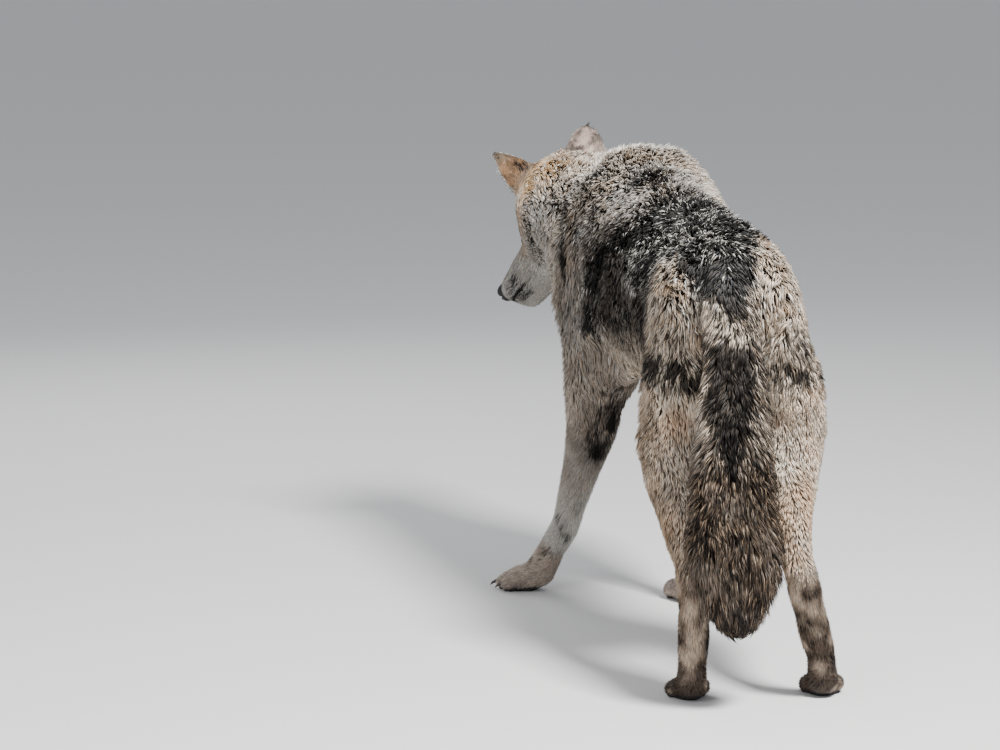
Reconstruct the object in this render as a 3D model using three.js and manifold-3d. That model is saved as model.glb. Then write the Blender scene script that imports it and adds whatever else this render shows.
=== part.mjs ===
// Grey wolf, standing, head lowered and turned to its left, left foreleg stepping out.
// Millimetres. The wolf faces -Y, its left side is +X, +Z is up, the soles stand on z = 0.
// Every solid reaches out to the tips of the coat.
import * as THREE from 'three';
import { mergeVertices } from 'three/addons/utils/BufferGeometryUtils.js';
import Module from 'manifold-3d';

const wasm = await Module();
wasm.setup();

// ---------------------------------------------------------------- driving dimensions
const GAP = 0.3;
const RISE = 22;
const EYE_RADIUS = 11.5;
const EYE_ALONG = 104;
const EYE_UP = -48;
const EYE_OUT = 24;
const HOLLOW_RADIUS = 17;
const HOLLOW_DEPTH = 7;
const EAR_LENGTH = 126;
const EAR_HALF_WIDTH = 47;
const EAR_THICKNESS = 7;
const CLAW_LENGTH = 24;
const CLAW_RADIUS = 4.2;
const REACH = 3000;
const TAIL_CLEARANCE = 1.5;
const LIMB_RINGS = 20;
const LIMB_SIDES = 11;
const CAP_REACH = 40;

const COLOURS = {
  cream: 0xc9b596,
  grey: 0x8f887c,
  tan: 0xa98d68,
  orange: 0xb07f4c,
  black: 0x151414,
  claw: 0x2e2a26,
  amber: 0xa87628,
};

// ---------------------------------------------------------------- small helpers
const V = (x, y, z) => new THREE.Vector3(x, y, z);
const mix = (a, b, t) => a + (b - a) * t;
const clamp01 = (t) => Math.min(1, Math.max(0, t));

function smoothMin(a, b, k) {
  const h = Math.max(k - Math.abs(a - b), 0) / k;
  return Math.min(a, b) - h * h * k * 0.25;
}

function smoothMax(a, b, k) {
  return -smoothMin(-a, -b, k);
}

// One anatomical mass: a tapering elliptical rod with rounded ends.
// start and end are [point, half size across, half size the other way].
function mass(start, end, across, blend = 40) {
  const [from, a0, b0] = start;
  const [to, a1, b1] = end;
  const axis = to.clone().sub(from);
  const length = Math.max(axis.length(), 1e-3);
  axis.normalize();
  const side = across.clone().addScaledVector(axis, -across.dot(axis)).normalize();
  const other = axis.clone().cross(side);
  const d = V(0, 0, 0);
  const distance = (p) => {
    d.copy(p).sub(from);
    const t = clamp01(d.dot(axis) / length);
    d.addScaledVector(axis, -t * length);
    const a = mix(a0, a1, t);
    const b = mix(b0, b1, t);
    const c = (a + b) / 2;
    const k = Math.hypot(d.dot(side) / a, d.dot(other) / b, d.dot(axis) / c);
    return (k - 1) * Math.min(a, b);
  };
  return { distance, blend };
}

// One mass made of links through a list of [point, across, other] stations.
function chain(stations, across, blend = 40, ease = 10) {
  const links = [];
  for (let i = 0; i + 1 < stations.length; i += 1) {
    links.push(mass(stations[i], stations[i + 1], across));
  }
  const distance = (p) => {
    let value = links[0].distance(p);
    for (let i = 1; i < links.length; i += 1) {
      value = smoothMin(value, links[i].distance(p), ease);
    }
    return value;
  };
  return { distance, blend };
}

function field(masses) {
  return (p) => {
    let value = 1e6;
    for (const one of masses) {
      value = value > 1e5 ? one.distance(p) : smoothMin(value, one.distance(p), one.blend);
    }
    return value;
  };
}

// ---------------------------------------------------------------- solids from fields
function meshSolid(positions, indices) {
  const mesh = new wasm.Mesh({
    numProp: 3,
    vertProperties: new Float32Array(positions),
    triVerts: new Uint32Array(indices),
  });
  return new wasm.Manifold(mesh);
}

function edgeDistance(inside, centre, direction, limit) {
  const p = V(0, 0, 0);
  const step = limit / 64;
  let r = 0;
  if (inside(centre) > 0) {
    return 0.5;
  }
  while (r < limit) {
    r += step;
    p.copy(centre).addScaledVector(direction, r);
    if (inside(p) > 0) {
      break;
    }
  }
  if (r >= limit) {
    return limit;
  }
  let low = r - step;
  let high = r;
  for (let i = 0; i < 18; i += 1) {
    const middle = (low + high) / 2;
    p.copy(centre).addScaledVector(direction, middle);
    if (inside(p) > 0) {
      high = middle;
    } else {
      low = middle;
    }
  }
  return (low + high) / 2;
}

// Rings of points around a centre line, each pushed out to the edge of the field.
function shell(inside, line, { rings, sides, across, limit, round = 'none' }) {
  const curve = new THREE.CatmullRomCurve3(line, false, 'centripetal');
  const positions = [];
  const indices = [];
  const spread = {
    none: (t) => t,
    end: (t) => Math.sin((t * Math.PI) / 2),
    start: (t) => 1 - Math.cos((t * Math.PI) / 2),
    both: (t) => (1 - Math.cos(t * Math.PI)) / 2,
  }[round];
  const push = (p) => positions.push(p.x, p.y, p.z);
  let first = null;
  let last = null;
  for (let i = 0; i < rings; i += 1) {
    const t = spread(i / (rings - 1));
    const centre = curve.getPointAt(t);
    const tangent = curve.getTangentAt(t);
    const a = across.clone().addScaledVector(tangent, -across.dot(tangent)).normalize();
    const b = tangent.clone().cross(a);
    for (let j = 0; j < sides; j += 1) {
      const angle = ((j + 0.5) / sides) * Math.PI * 2;
      const out = a.clone().multiplyScalar(Math.cos(angle)).addScaledVector(b, Math.sin(angle));
      push(centre.clone().addScaledVector(out, edgeDistance(inside, centre, out, limit)));
    }
    if (i === 0) {
      const back = tangent.clone().negate();
      const reach = Math.min(edgeDistance(inside, centre, back, limit), CAP_REACH);
      first = centre.clone().addScaledVector(back, reach);
    }
    if (i === rings - 1) {
      const reach = Math.min(edgeDistance(inside, centre, tangent, limit), CAP_REACH);
      last = centre.clone().addScaledVector(tangent, reach);
    }
  }
  push(first);
  push(last);
  const startPole = rings * sides;
  const endPole = startPole + 1;
  for (let j = 0; j < sides; j += 1) {
    const k = (j + 1) % sides;
    for (let i = 0; i + 1 < rings; i += 1) {
      const low = i * sides;
      const high = low + sides;
      indices.push(low + j, low + k, high + k);
      indices.push(low + j, high + k, high + j);
    }
    const top = (rings - 1) * sides;
    indices.push(startPole, k, j);
    indices.push(endPole, top + j, top + k);
  }
  return meshSolid(positions, indices);
}

function solidOf(geometry) {
  const plain = geometry.clone();
  plain.deleteAttribute('normal');
  plain.deleteAttribute('uv');
  const welded = mergeVertices(plain, 1e-4);
  return meshSolid(welded.attributes.position.array, welded.index.array);
}

// Everything on the side of a plane that its normal points to.
function halfSpace(point, normal, back = 0) {
  const n = normal.clone().normalize();
  const turn = new THREE.Quaternion().setFromUnitVectors(V(0, 0, 1), n);
  const box = new THREE.BoxGeometry(REACH, REACH, REACH);
  box.applyQuaternion(turn);
  const centre = point.clone().addScaledVector(n, REACH / 2 - back);
  box.translate(centre.x, centre.y, centre.z);
  return solidOf(box);
}

function wedge(planes, grow = 0) {
  let solid = null;
  for (const [point, normal] of planes) {
    const part = halfSpace(point, normal, grow);
    solid = solid === null ? part : solid.intersect(part);
  }
  return solid;
}

const shiftUp = (x, y, z) => V(x, y, z + RISE);

// ---------------------------------------------------------------- trunk
const ACROSS = V(1, 0, 0);
const trunkMasses = [
  chain([
    [shiftUp(-14, 290, 586), 108, 130],
    [shiftUp(-6, 200, 596), 108, 142],
    [shiftUp(0, 60, 598), 112, 152],
    [shiftUp(4, -80, 594), 130, 172],
    [shiftUp(2, -250, 596), 142, 190],
    [shiftUp(0, -400, 608), 138, 196],
  ], ACROSS, 60, 14),
  mass(
    [shiftUp(0, -400, 560), 120, 156],
    [shiftUp(6, -500, 590), 112, 134],
    ACROSS, 70,
  ),
];

// ---------------------------------------------------------------- neck
const neckMasses = [
  chain([
    [shiftUp(0, -400, 640), 134, 162],
    [shiftUp(38, -545, 650), 128, 140],
    [shiftUp(74, -660, 664), 112, 122],
    [shiftUp(94, -712, 660), 94, 100],
  ], ACROSS, 50, 16),
];

// ---------------------------------------------------------------- head
const CROWN = shiftUp(100, -760, 720);
const MUZZLE = V(0.425, -0.537, -0.728).normalize();
const UP = V(0.535, -0.499, 0.680).normalize();
const LEFT = V(0.730, 0.679, -0.075).normalize();

// A place in the head: along the muzzle, up from the crown line, out to the left.
function inHead(along, up, left) {
  return CROWN.clone().addScaledVector(MUZZLE, along).addScaledVector(UP, up).addScaledVector(LEFT, left);
}

function headDirection([along, up, left]) {
  const sum = V(0, 0, 0).addScaledVector(MUZZLE, along).addScaledVector(UP, up);
  return sum.addScaledVector(LEFT, left).normalize();
}

const headMasses = [
  mass([inHead(10, -56, 0), 72, 62], [inHead(70, -54, 0), 58, 52], LEFT, 40),
  mass([inHead(-24, -18, 0), 60, 60], [inHead(22, -22, 0), 52, 48], LEFT, 30),
  mass([inHead(95, -58, 0), 46, 42], [inHead(182, -63, 0), 34, 32], LEFT, 26),
  mass([inHead(182, -63, 0), 34, 32], [inHead(242, -61, 0), 28, 27], LEFT, 14),
  mass([inHead(60, -104, 0), 48, 36], [inHead(222, -102, 0), 25, 22], LEFT, 14),
];
for (const side of [-1, 1]) {
  headMasses.push(mass(
    [inHead(14, -84, 50 * side), 48, 56],
    [inHead(74, -82, 38 * side), 36, 40],
    LEFT, 36,
  ));
  headMasses.push(mass(
    [inHead(-12, -26, 48 * side), 36, 38],
    [inHead(-4, 4, 58 * side), 26, 31],
    LEFT, 24,
  ));
  headMasses.push(mass(
    [inHead(70, -22, 24 * side), 26, 22],
    [inHead(102, -30, 25 * side), 17, 15],
    LEFT, 16,
  ));
  headMasses.push(mass(
    [inHead(196, -77, 16 * side), 18, 20],
    [inHead(230, -77, 13 * side), 14, 16],
    LEFT, 12,
  ));
}
function eyeAim(side) {
  return headDirection([0.62, 0.46, 0.62 * side]);
}

// ---------------------------------------------------------------- legs
function legMasses(upper, lower, blend = 46) {
  return { upper: [chain(upper, ACROSS, blend, 16)], lower: [chain(lower, ACROSS, 22, 9)] };
}

const leftFore = legMasses([
  [shiftUp(62, -345, 715), 50, 70],
  [shiftUp(92, -440, 545), 66, 88],
  [shiftUp(91, -390, 385), 60, 70],
], [
  [shiftUp(90, -393, 380), 57, 66],
  [shiftUp(95, -423, 285), 47, 50],
  [shiftUp(113, -464, 190), 33, 37],
  [shiftUp(131, -503, 95), 28, 29],
  [shiftUp(150, -522, 62), 29, 26],
]);
const rightFore = legMasses([
  [shiftUp(-62, -345, 715), 50, 70],
  [shiftUp(-92, -440, 545), 66, 88],
  [shiftUp(-92, -378, 405), 54, 66],
], [
  [shiftUp(-90, -376, 400), 48, 60],
  [shiftUp(-86, -378, 290), 36, 43],
  [shiftUp(-83, -377, 190), 28, 32],
  [shiftUp(-82, -373, 115), 27, 28],
  [shiftUp(-82, -388, 55), 27, 25],
]);
const leftHind = legMasses([
  [shiftUp(50, 262, 600), 70, 108],
  [shiftUp(62, 235, 470), 64, 114],
  [shiftUp(74, 235, 385), 56, 96],
], [
  [shiftUp(84, 150, 425), 52, 66],
  [shiftUp(90, 300, 330), 47, 68],
  [shiftUp(86, 393, 238), 34, 45],
  [shiftUp(82, 424, 190), 23, 35],
  [shiftUp(80, 438, 162), 27, 35],
  [shiftUp(79, 427, 95), 26, 28],
  [shiftUp(76, 410, 45), 28, 29],
]);
const rightHind = legMasses([
  [shiftUp(-56, 262, 600), 60, 108],
  [shiftUp(-102, 235, 458), 70, 114],
  [shiftUp(-112, 235, 385), 64, 98],
], [
  [shiftUp(-104, 150, 425), 54, 66],
  [shiftUp(-100, 300, 330), 52, 68],
  [shiftUp(-86, 393, 238), 35, 45],
  [shiftUp(-92, 424, 190), 23, 35],
  [shiftUp(-97, 438, 162), 27, 35],
  [shiftUp(-116, 427, 95), 26, 28],
  [shiftUp(-132, 410, 45), 28, 29],
]);

// ---------------------------------------------------------------- tail
const tailLine = [
  [shiftUp(12, 345, 656), 50, 50],
  [shiftUp(18, 412, 590), 50, 46],
  [shiftUp(22, 448, 480), 55, 48],
  [shiftUp(29, 478, 350), 68, 53],
  [shiftUp(31, 497, 250), 80, 57],
  [shiftUp(28, 502, 180), 68, 50],
  [shiftUp(25, 504, 122), 38, 32],
];
const tailMasses = [chain(tailLine, ACROSS, 30, 20)];

// ---------------------------------------------------------------- paws
// place is the spot on the floor under the middle of the paw, heading points at the toes.
const paws = {
  left_fore: {
    place: V(189, -553, 0),
    heading: V(0.82, -0.574, 0),
    size: 1.0,
    root: shiftUp(140, -510, 76),
    rootSize: 29,
  },
  right_fore: {
    place: V(-84, -410, 0),
    heading: V(-0.09, -0.996, 0),
    size: 1.0,
    root: shiftUp(-82, -386, 58),
    rootSize: 27,
  },
  left_hind: {
    place: V(76, 385, 0),
    heading: V(0.03, -0.999, 0),
    size: 0.84,
    root: shiftUp(77, 413, 55),
    rootSize: 28,
  },
  right_hind: {
    place: V(-141, 386, 0),
    heading: V(-0.12, -0.99, 0),
    size: 0.84,
    root: shiftUp(-130, 413, 55),
    rootSize: 28,
  },
};
const toeSpots = [
  { forward: 16, side: 33, reach: 24 },
  { forward: 33, side: 13, reach: 27 },
  { forward: 33, side: -13, reach: 27 },
  { forward: 16, side: -33, reach: 24 },
];

function pawFrame(paw) {
  const h = paw.heading.clone().normalize();
  const q = V(0, 0, 1).cross(h);
  return (forward, side, up) => paw.place.clone()
    .addScaledVector(h, forward * paw.size)
    .addScaledVector(q, side * paw.size)
    .add(V(0, 0, up * paw.size));
}

function pawSolid(paw) {
  const spot = pawFrame(paw);
  const q = V(0, 0, 1).cross(paw.heading).normalize();
  const s = paw.size;
  const palm = field([
    mass([spot(-20, 0, 17), 29 * s, 25 * s], [spot(14, 0, 20), 37 * s, 26 * s], q, 10),
    mass([spot(-16, 0, 34), 27 * s, 26 * s], [paw.root, paw.rootSize, paw.rootSize], q, 18),
  ]);
  const above = paw.root.clone().add(V(0, 0, 14));
  let solid = shell(palm, [above, paw.root, spot(-18, 0, 24), spot(4, 0, 20), spot(32, 0, 18)], {
    rings: 6, sides: 8, across: q, limit: 70, round: 'end',
  });
  for (const toe of toeSpots) {
    const back = spot(toe.forward - 12, toe.side * 0.9, 26);
    const front = spot(toe.forward + toe.reach - 13, toe.side, 13);
    const knuckle = field([
      mass([back, 16 * s, 19 * s], [front, 14.5 * s, 16.5 * s], q, 5),
    ]);
    const tip = front.clone().addScaledVector(paw.heading.clone().normalize(), 13 * s);
    solid = solid.add(shell(knuckle, [back, tip], {
      rings: 4, sides: 6, across: q, limit: 40, round: 'both',
    }));
  }
  return solid;
}

// ---------------------------------------------------------------- claws
function claw(paw, toe) {
  const spot = pawFrame(paw);
  const tipForward = toe.forward + toe.reach - 2;
  const start = spot(tipForward - 7, toe.side, 15);
  const middle = spot(tipForward + 7, toe.side, 15);
  const end = spot(tipForward + 15, toe.side, 4);
  return horn(start, middle, end, CLAW_RADIUS * paw.size);
}

function horn(start, middle, end, radius) {
  const curve = new THREE.QuadraticBezierCurve3(start, middle, end);
  const rings = 3;
  const sides = 4;
  const positions = [];
  const indices = [];
  for (let i = 0; i < rings; i += 1) {
    const t = i / rings;
    const centre = curve.getPoint(t);
    const tangent = curve.getTangent(t);
    const a = V(0, 0, 1).cross(tangent).normalize();
    const b = tangent.clone().cross(a);
    for (let j = 0; j < sides; j += 1) {
      const angle = (j / sides) * Math.PI * 2;
      const r = radius * (1 - 0.72 * t);
      const p = centre.clone()
        .addScaledVector(a, Math.cos(angle) * r * 0.8)
        .addScaledVector(b, Math.sin(angle) * r);
      positions.push(p.x, p.y, p.z);
    }
  }
  positions.push(start.x, start.y, start.z, end.x, end.y, end.z);
  const first = rings * sides;
  for (let j = 0; j < sides; j += 1) {
    const k = (j + 1) % sides;
    for (let i = 0; i + 1 < rings; i += 1) {
      const low = i * sides;
      const high = low + sides;
      indices.push(low + j, low + k, high + k, low + j, high + k, high + j);
    }
    const top = (rings - 1) * sides;
    indices.push(first, k, j, first + 1, top + j, top + k);
  }
  return meshSolid(positions, indices);
}

// ---------------------------------------------------------------- ears
// A cupped leaf with a thick root, drawn up to a rounded point.
function ear(side, direction, facing, tip) {
  const axis = direction.clone().normalize();
  const front = facing.clone().addScaledVector(axis, -facing.dot(axis)).normalize();
  const wide = axis.clone().cross(front);
  const root = inHead(2, -22, 58 * side);
  const rows = 7;
  const columns = 7;
  const positions = [];
  const indices = [];
  for (const layer of [0, 1]) {
    for (let i = 0; i <= rows; i += 1) {
      const t = i / rows;
      const height = -14 + (EAR_LENGTH + 14) * Math.sin((t * Math.PI) / 2);
      const share = clamp01((height + 14) / (EAR_LENGTH + 14));
      const half = EAR_HALF_WIDTH * Math.pow(1 - Math.pow(share, tip.fullness), tip.bluntness) + 1.5;
      const cup = mix(24, 5, share);
      const thick = mix(EAR_THICKNESS * 1.5, EAR_THICKNESS * 0.55, share);
      const lean = 7 * share * share;
      for (let j = 0; j <= columns; j += 1) {
        const u = (j / columns) * 2 - 1;
        const bend = cup * (u * u - 0.5);
        const depth = layer === 0 ? 0 : thick * (1 - 0.72 * Math.pow(Math.abs(u), 3));
        const p = root.clone()
          .addScaledVector(axis, height)
          .addScaledVector(wide, u * half)
          .addScaledVector(front, bend - lean - depth + thick / 2);
        positions.push(p.x, p.y, p.z);
      }
    }
  }
  const width = columns + 1;
  const layerSize = width * (rows + 1);
  const quad = (a, b, c, d) => indices.push(a, c, b, a, d, c);
  for (let i = 0; i < rows; i += 1) {
    for (let j = 0; j < columns; j += 1) {
      const a = i * width + j;
      quad(a, a + width, a + width + 1, a + 1);
      const b = a + layerSize;
      quad(b, b + 1, b + width + 1, b + width);
    }
  }
  for (let i = 0; i < rows; i += 1) {
    const a = i * width;
    const b = a + columns;
    quad(a, a + layerSize, a + layerSize + width, a + width);
    quad(b, b + width, b + width + layerSize, b + layerSize);
  }
  for (let j = 0; j < columns; j += 1) {
    const top = rows * width + j;
    quad(j, j + 1, j + 1 + layerSize, j + layerSize);
    quad(top, top + layerSize, top + layerSize + 1, top + 1);
  }
  return meshSolid(positions, indices);
}

// ---------------------------------------------------------------- fields of the whole body
const limbTops = [...leftFore.upper, ...rightFore.upper, ...leftHind.upper, ...rightHind.upper];
const wholeMasses = [...trunkMasses, ...limbTops, ...neckMasses, ...headMasses];
const bodyField = field(wholeMasses);

// The eyeballs lie just under the surface of the brow, in shallow hollows.
const eyes = [-1, 1].map((side) => {
  const anchor = inHead(EYE_ALONG, EYE_UP, EYE_OUT * side);
  const aim = eyeAim(side);
  const depth = edgeDistance(bodyField, anchor, aim, 120);
  return {
    label: side > 0 ? 'left' : 'right',
    centre: anchor.clone().addScaledVector(aim, depth - EYE_RADIUS + 1),
    hollow: anchor.clone().addScaledVector(aim, depth + HOLLOW_RADIUS - HOLLOW_DEPTH),
  };
});

function headField(p) {
  let value = bodyField(p);
  for (const eye of eyes) {
    value = smoothMax(value, HOLLOW_RADIUS - p.distanceTo(eye.hollow), 7);
  }
  return value;
}

// One limb and the trunk above it, stopping at the middle plane between left and right.
function limbField(limb, middle, side) {
  const flesh = field([...trunkMasses, ...limb.upper, ...neckMasses, ...limb.lower]);
  return (p) => Math.max(flesh(p), (middle - p.x) * side);
}

// ---------------------------------------------------------------- cutting planes
const NECK_CUT = [shiftUp(8, -452, 640), V(0.16, -0.95, 0.25)];
const HEAD_CUT = [inHead(-12, -70, 0), V(0.36, -0.88, -0.30)];
const hindPlanes = (centreX, side) => [
  [shiftUp(centreX + 42 * side, 200, 520), V(0.72 * side, 0, -0.69)],
  [shiftUp(centreX + 60 * side, 118, 480), V(0, 0.93, -0.36)],
  [shiftUp(centreX + GAP * side, 300, 400), V(side, 0, 0)],
];
const forePlanes = (side) => [
  [shiftUp(58 * side, -400, 520), V(0.80 * side, 0, -0.60)],
  [shiftUp(60 * side, -290, 480), V(0, -0.96, -0.27)],
  [shiftUp(GAP * side, -400, 400), V(side, 0, 0)],
  [NECK_CUT[0], NECK_CUT[1].clone().negate()],
];
const limbs = {
  left_fore: {
    middle: 0,
    side: 1,
    masses: leftFore,
    planes: forePlanes(1),
    line: [shiftUp(90, -408, 650), shiftUp(94, -408, 520), shiftUp(97, -404, 400), shiftUp(101, -426, 285),
      shiftUp(115, -466, 188), shiftUp(131, -503, 96), shiftUp(156, -528, 56)],
    parts: ['upper_arm', 'forearm', 'pastern', 'paw'],
    cuts: [
      [shiftUp(98, -408, 325), V(0.05, -0.30, -0.95)],
      [shiftUp(131, -503, 106), V(0.34, -0.46, -0.82)],
      [shiftUp(150, -521, 64), V(0.48, -0.50, -0.72)],
    ],
  },
  right_fore: {
    middle: 0,
    side: -1,
    masses: rightFore,
    planes: forePlanes(-1),
    line: [shiftUp(-90, -406, 650), shiftUp(-93, -404, 520), shiftUp(-91, -388, 400), shiftUp(-86, -380, 290),
      shiftUp(-83, -377, 190), shiftUp(-82, -374, 115), shiftUp(-82, -392, 44)],
    parts: ['upper_arm', 'forearm', 'pastern', 'paw'],
    cuts: [
      [shiftUp(-88, -378, 345), V(0, -0.05, -1)],
      [shiftUp(-82, -374, 120), V(0, -0.05, -1)],
      [shiftUp(-82, -386, 62), V(0, -0.30, -0.95)],
    ],
  },
  left_hind: {
    middle: -8,
    side: 1,
    masses: leftHind,
    planes: hindPlanes(-8, 1),
    line: [shiftUp(60, 262, 640), shiftUp(68, 275, 510), shiftUp(78, 292, 400), shiftUp(88, 330, 315),
      shiftUp(86, 395, 235), shiftUp(80, 438, 165), shiftUp(79, 427, 95), shiftUp(75, 404, 30)],
    parts: ['thigh', 'shank', 'hock', 'paw'],
    cuts: [
      [shiftUp(102, 250, 385), V(0, 0.55, -0.84)],
      [shiftUp(88, 425, 188), V(0, 0.35, -0.94)],
      [shiftUp(87, 412, 56), V(0, -0.25, -0.97)],
    ],
  },
  right_hind: {
    middle: -8,
    side: -1,
    masses: rightHind,
    planes: hindPlanes(-8, -1),
    line: [shiftUp(-74, 262, 640), shiftUp(-94, 275, 510), shiftUp(-103, 292, 400), shiftUp(-97, 330, 315),
      shiftUp(-84, 395, 235), shiftUp(-96, 438, 165), shiftUp(-116, 427, 95), shiftUp(-134, 404, 30)],
    parts: ['thigh', 'shank', 'hock', 'paw'],
    cuts: [
      [shiftUp(-70, 250, 385), V(0, 0.55, -0.84)],
      [shiftUp(-86, 425, 188), V(-0.2, 0.35, -0.92)],
      [shiftUp(-116, 412, 56), V(-0.15, -0.25, -0.96)],
    ],
  },
};

// ---------------------------------------------------------------- the parts
const group = new THREE.Group();
group.name = 'wolf';

function addNode(name, solid, colour, roughness = 0.9, metalness = 0) {
  const data = solid.getMesh();
  const geometry = new THREE.BufferGeometry();
  const count = data.numVert;
  const positions = new Float32Array(count * 3);
  for (let i = 0; i < count; i += 1) {
    for (let axis = 0; axis < 3; axis += 1) {
      positions[i * 3 + axis] = data.vertProperties[i * data.numProp + axis];
    }
  }
  geometry.setAttribute('position', new THREE.BufferAttribute(positions, 3));
  geometry.setIndex(new THREE.BufferAttribute(new Uint32Array(data.triVerts), 1));
  geometry.computeVertexNormals();
  const material = new THREE.MeshStandardMaterial({ color: colour, roughness, metalness });
  material.name = name;
  const mesh = new THREE.Mesh(geometry, material);
  mesh.name = name;
  group.add(mesh);
}

// The largest closed body of a solid, dropping any sliver a cut leaves behind.
function mainBody(solid) {
  const bodies = solid.decompose();
  bodies.sort((a, b) => b.volume() - a.volume());
  return bodies[0];
}

const floorSide = halfSpace(V(0, 0, 0), V(0, 0, 1));
const behindNeck = (grow) => halfSpace(NECK_CUT[0], NECK_CUT[1].clone().negate(), grow);
const beforeNeck = (grow) => halfSpace(NECK_CUT[0], NECK_CUT[1], grow);
const behindHead = (grow) => halfSpace(HEAD_CUT[0], HEAD_CUT[1].clone().negate(), grow);
const beforeHead = (grow) => halfSpace(HEAD_CUT[0], HEAD_CUT[1], grow);

// Trunk, from the neck cut back to the rump, with the legs' wedges taken out.
const trunkLine = [
  shiftUp(0, -560, 620), shiftUp(0, -420, 610), shiftUp(2, -250, 600), shiftUp(8, -50, 605),
  shiftUp(2, 120, 605), shiftUp(-8, 300, 595), shiftUp(-8, 398, 590),
];
const trunkPlan = { rings: 19, sides: 22, across: ACROSS, limit: 330, round: 'end' };
let trunk = shell(bodyField, trunkLine, trunkPlan).intersect(behindNeck(0));

let tailShell = shell(field(tailMasses), [
  shiftUp(10, 320, 668), shiftUp(18, 412, 590), shiftUp(22, 448, 480), shiftUp(24, 478, 350),
  shiftUp(24, 497, 225), shiftUp(22, 504, 84),
], { rings: 12, sides: 12, across: ACROSS, limit: 120, round: 'end' });

const clawSolids = [];
for (const [name, limb] of Object.entries(limbs)) {
  const paw = paws[name];
  const inside = limbField(limb.masses, limb.middle, limb.side);
  const wedgeSolid = wedge(limb.planes);
  trunk = trunk.subtract(wedge(limb.planes, GAP));
  const ringPlan = { rings: LIMB_RINGS, sides: LIMB_SIDES, across: ACROSS, limit: 225 };
  const whole = shell(inside, limb.line, ringPlan).intersect(wedgeSolid);
  if (name.endsWith('hind')) {
    tailShell = tailShell.subtract(shell((p) => inside(p) - TAIL_CLEARANCE, limb.line, ringPlan));
  }
  let rest = whole;
  limb.cuts.forEach(([point, normal], index) => {
    const above = halfSpace(point, normal.clone().negate());
    const below = halfSpace(point, normal, -GAP);
    addNode(`${name}_${limb.parts[index]}`, mainBody(rest.intersect(above)), COLOURS.cream);
    rest = rest.intersect(below);
  });
  const [lastPoint, lastNormal] = limb.cuts[limb.cuts.length - 1];
  let foot = pawSolid(paw).intersect(floorSide).intersect(halfSpace(lastPoint, lastNormal, -GAP));
  toeSpots.forEach((toe, index) => {
    const nail = claw(paw, toe);
    foot = foot.subtract(nail);
    clawSolids.push([`${name}_claw_${index + 1}`, nail]);
  });
  addNode(`${name}_paw`, mainBody(foot), COLOURS.tan);
}
for (const [name, nail] of clawSolids) {
  addNode(name, nail, COLOURS.claw, 0.45);
}

addNode('trunk', mainBody(trunk), COLOURS.grey);
const rumpSkin = shell((p) => bodyField(p) - TAIL_CLEARANCE, trunkLine, trunkPlan);
addNode('tail', mainBody(tailShell.subtract(rumpSkin)), COLOURS.grey);

const neckLine = [
  shiftUp(0, -380, 635), shiftUp(40, -560, 635), shiftUp(84, -680, 625), shiftUp(104, -740, 640),
];
const neckPlan = { rings: 8, sides: 20, across: ACROSS, limit: 230 };
const neck = shell(bodyField, neckLine, neckPlan);
addNode('neck', mainBody(neck.intersect(beforeNeck(-GAP)).intersect(behindHead(0))), COLOURS.grey);

// Head with its sockets for the eyes and the nose.
const headLine = [
  inHead(-60, -66, 0), inHead(40, -68, 0), inHead(124, -68, 0), inHead(190, -71, 0), inHead(260, -74, 0),
];
const headPlan = { rings: 20, sides: 20, across: LEFT, limit: 180, round: 'end' };
let head = shell(headField, headLine, headPlan);
head = head.intersect(beforeHead(-GAP));
const noseField = field([
  mass([inHead(256, -49, -5), 13, 14], [inHead(256, -49, 5), 13, 14], UP, 6),
  mass([inHead(252, -65, 0), 7, 8], [inHead(256, -55, 0), 8, 9], LEFT, 6),
]);
const nose = shell(noseField, [inHead(242, -51, 0), inHead(270, -53, 0)], {
  rings: 6, sides: 10, across: LEFT, limit: 40, round: 'both',
});
head = head.subtract(nose);
for (const eye of eyes) {
  const [x, y, z] = eye.centre.toArray();
  const ball = new THREE.SphereGeometry(EYE_RADIUS, 10, 7).translate(x, y, z);
  const socket = new THREE.SphereGeometry(EYE_RADIUS + GAP, 10, 7).translate(x, y, z);
  head = head.subtract(solidOf(socket));
  addNode(`${eye.label}_eye`, solidOf(ball), COLOURS.amber, 0.2);
}
const earPlans = {
  left: {
    side: 1,
    axis: [0, 0.906, 0.45],
    facing: [0.85, 0, -0.42],
    tip: { fullness: 2.2, bluntness: 0.78 },
  },
  right: {
    side: -1,
    axis: [-0.36, 0.76, -0.54],
    facing: [0.78, 0, -0.62],
    tip: { fullness: 3.2, bluntness: 0.5 },
  },
};
const headOuter = shell((p) => headField(p) - GAP * 3, headLine, headPlan)
  .add(shell((p) => bodyField(p) - GAP * 3, neckLine, neckPlan));
for (const [label, plan] of Object.entries(earPlans)) {
  const leaf = ear(plan.side, headDirection(plan.axis), headDirection(plan.facing), plan.tip);
  addNode(`${label}_ear`, mainBody(leaf.subtract(headOuter)), COLOURS.orange);
}
addNode('head', mainBody(head), COLOURS.cream);
addNode('nose', mainBody(nose), COLOURS.black, 0.5);

// The origin is set on the floor under the middle of the animal's box.
const box = new THREE.Box3().setFromObject(group);
const middle = box.getCenter(V(0, 0, 0));
for (const mesh of group.children) {
  mesh.geometry.translate(-middle.x, -middle.y, 0);
}

export default group;
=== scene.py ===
"""A life-size standing wolf with a full coat of mesh tufts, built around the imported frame.

One skin replaces the frame's flesh nodes. It is the frame's own outer form, drawn in by the depth
of the coat, and the tufts grow from it back out to that outer form. All lengths are in metres.
"""

import math
from types import SimpleNamespace

import bmesh
import bpy
import numpy as np
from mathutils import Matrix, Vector, kdtree
from mathutils.bvhtree import BVHTree


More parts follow.
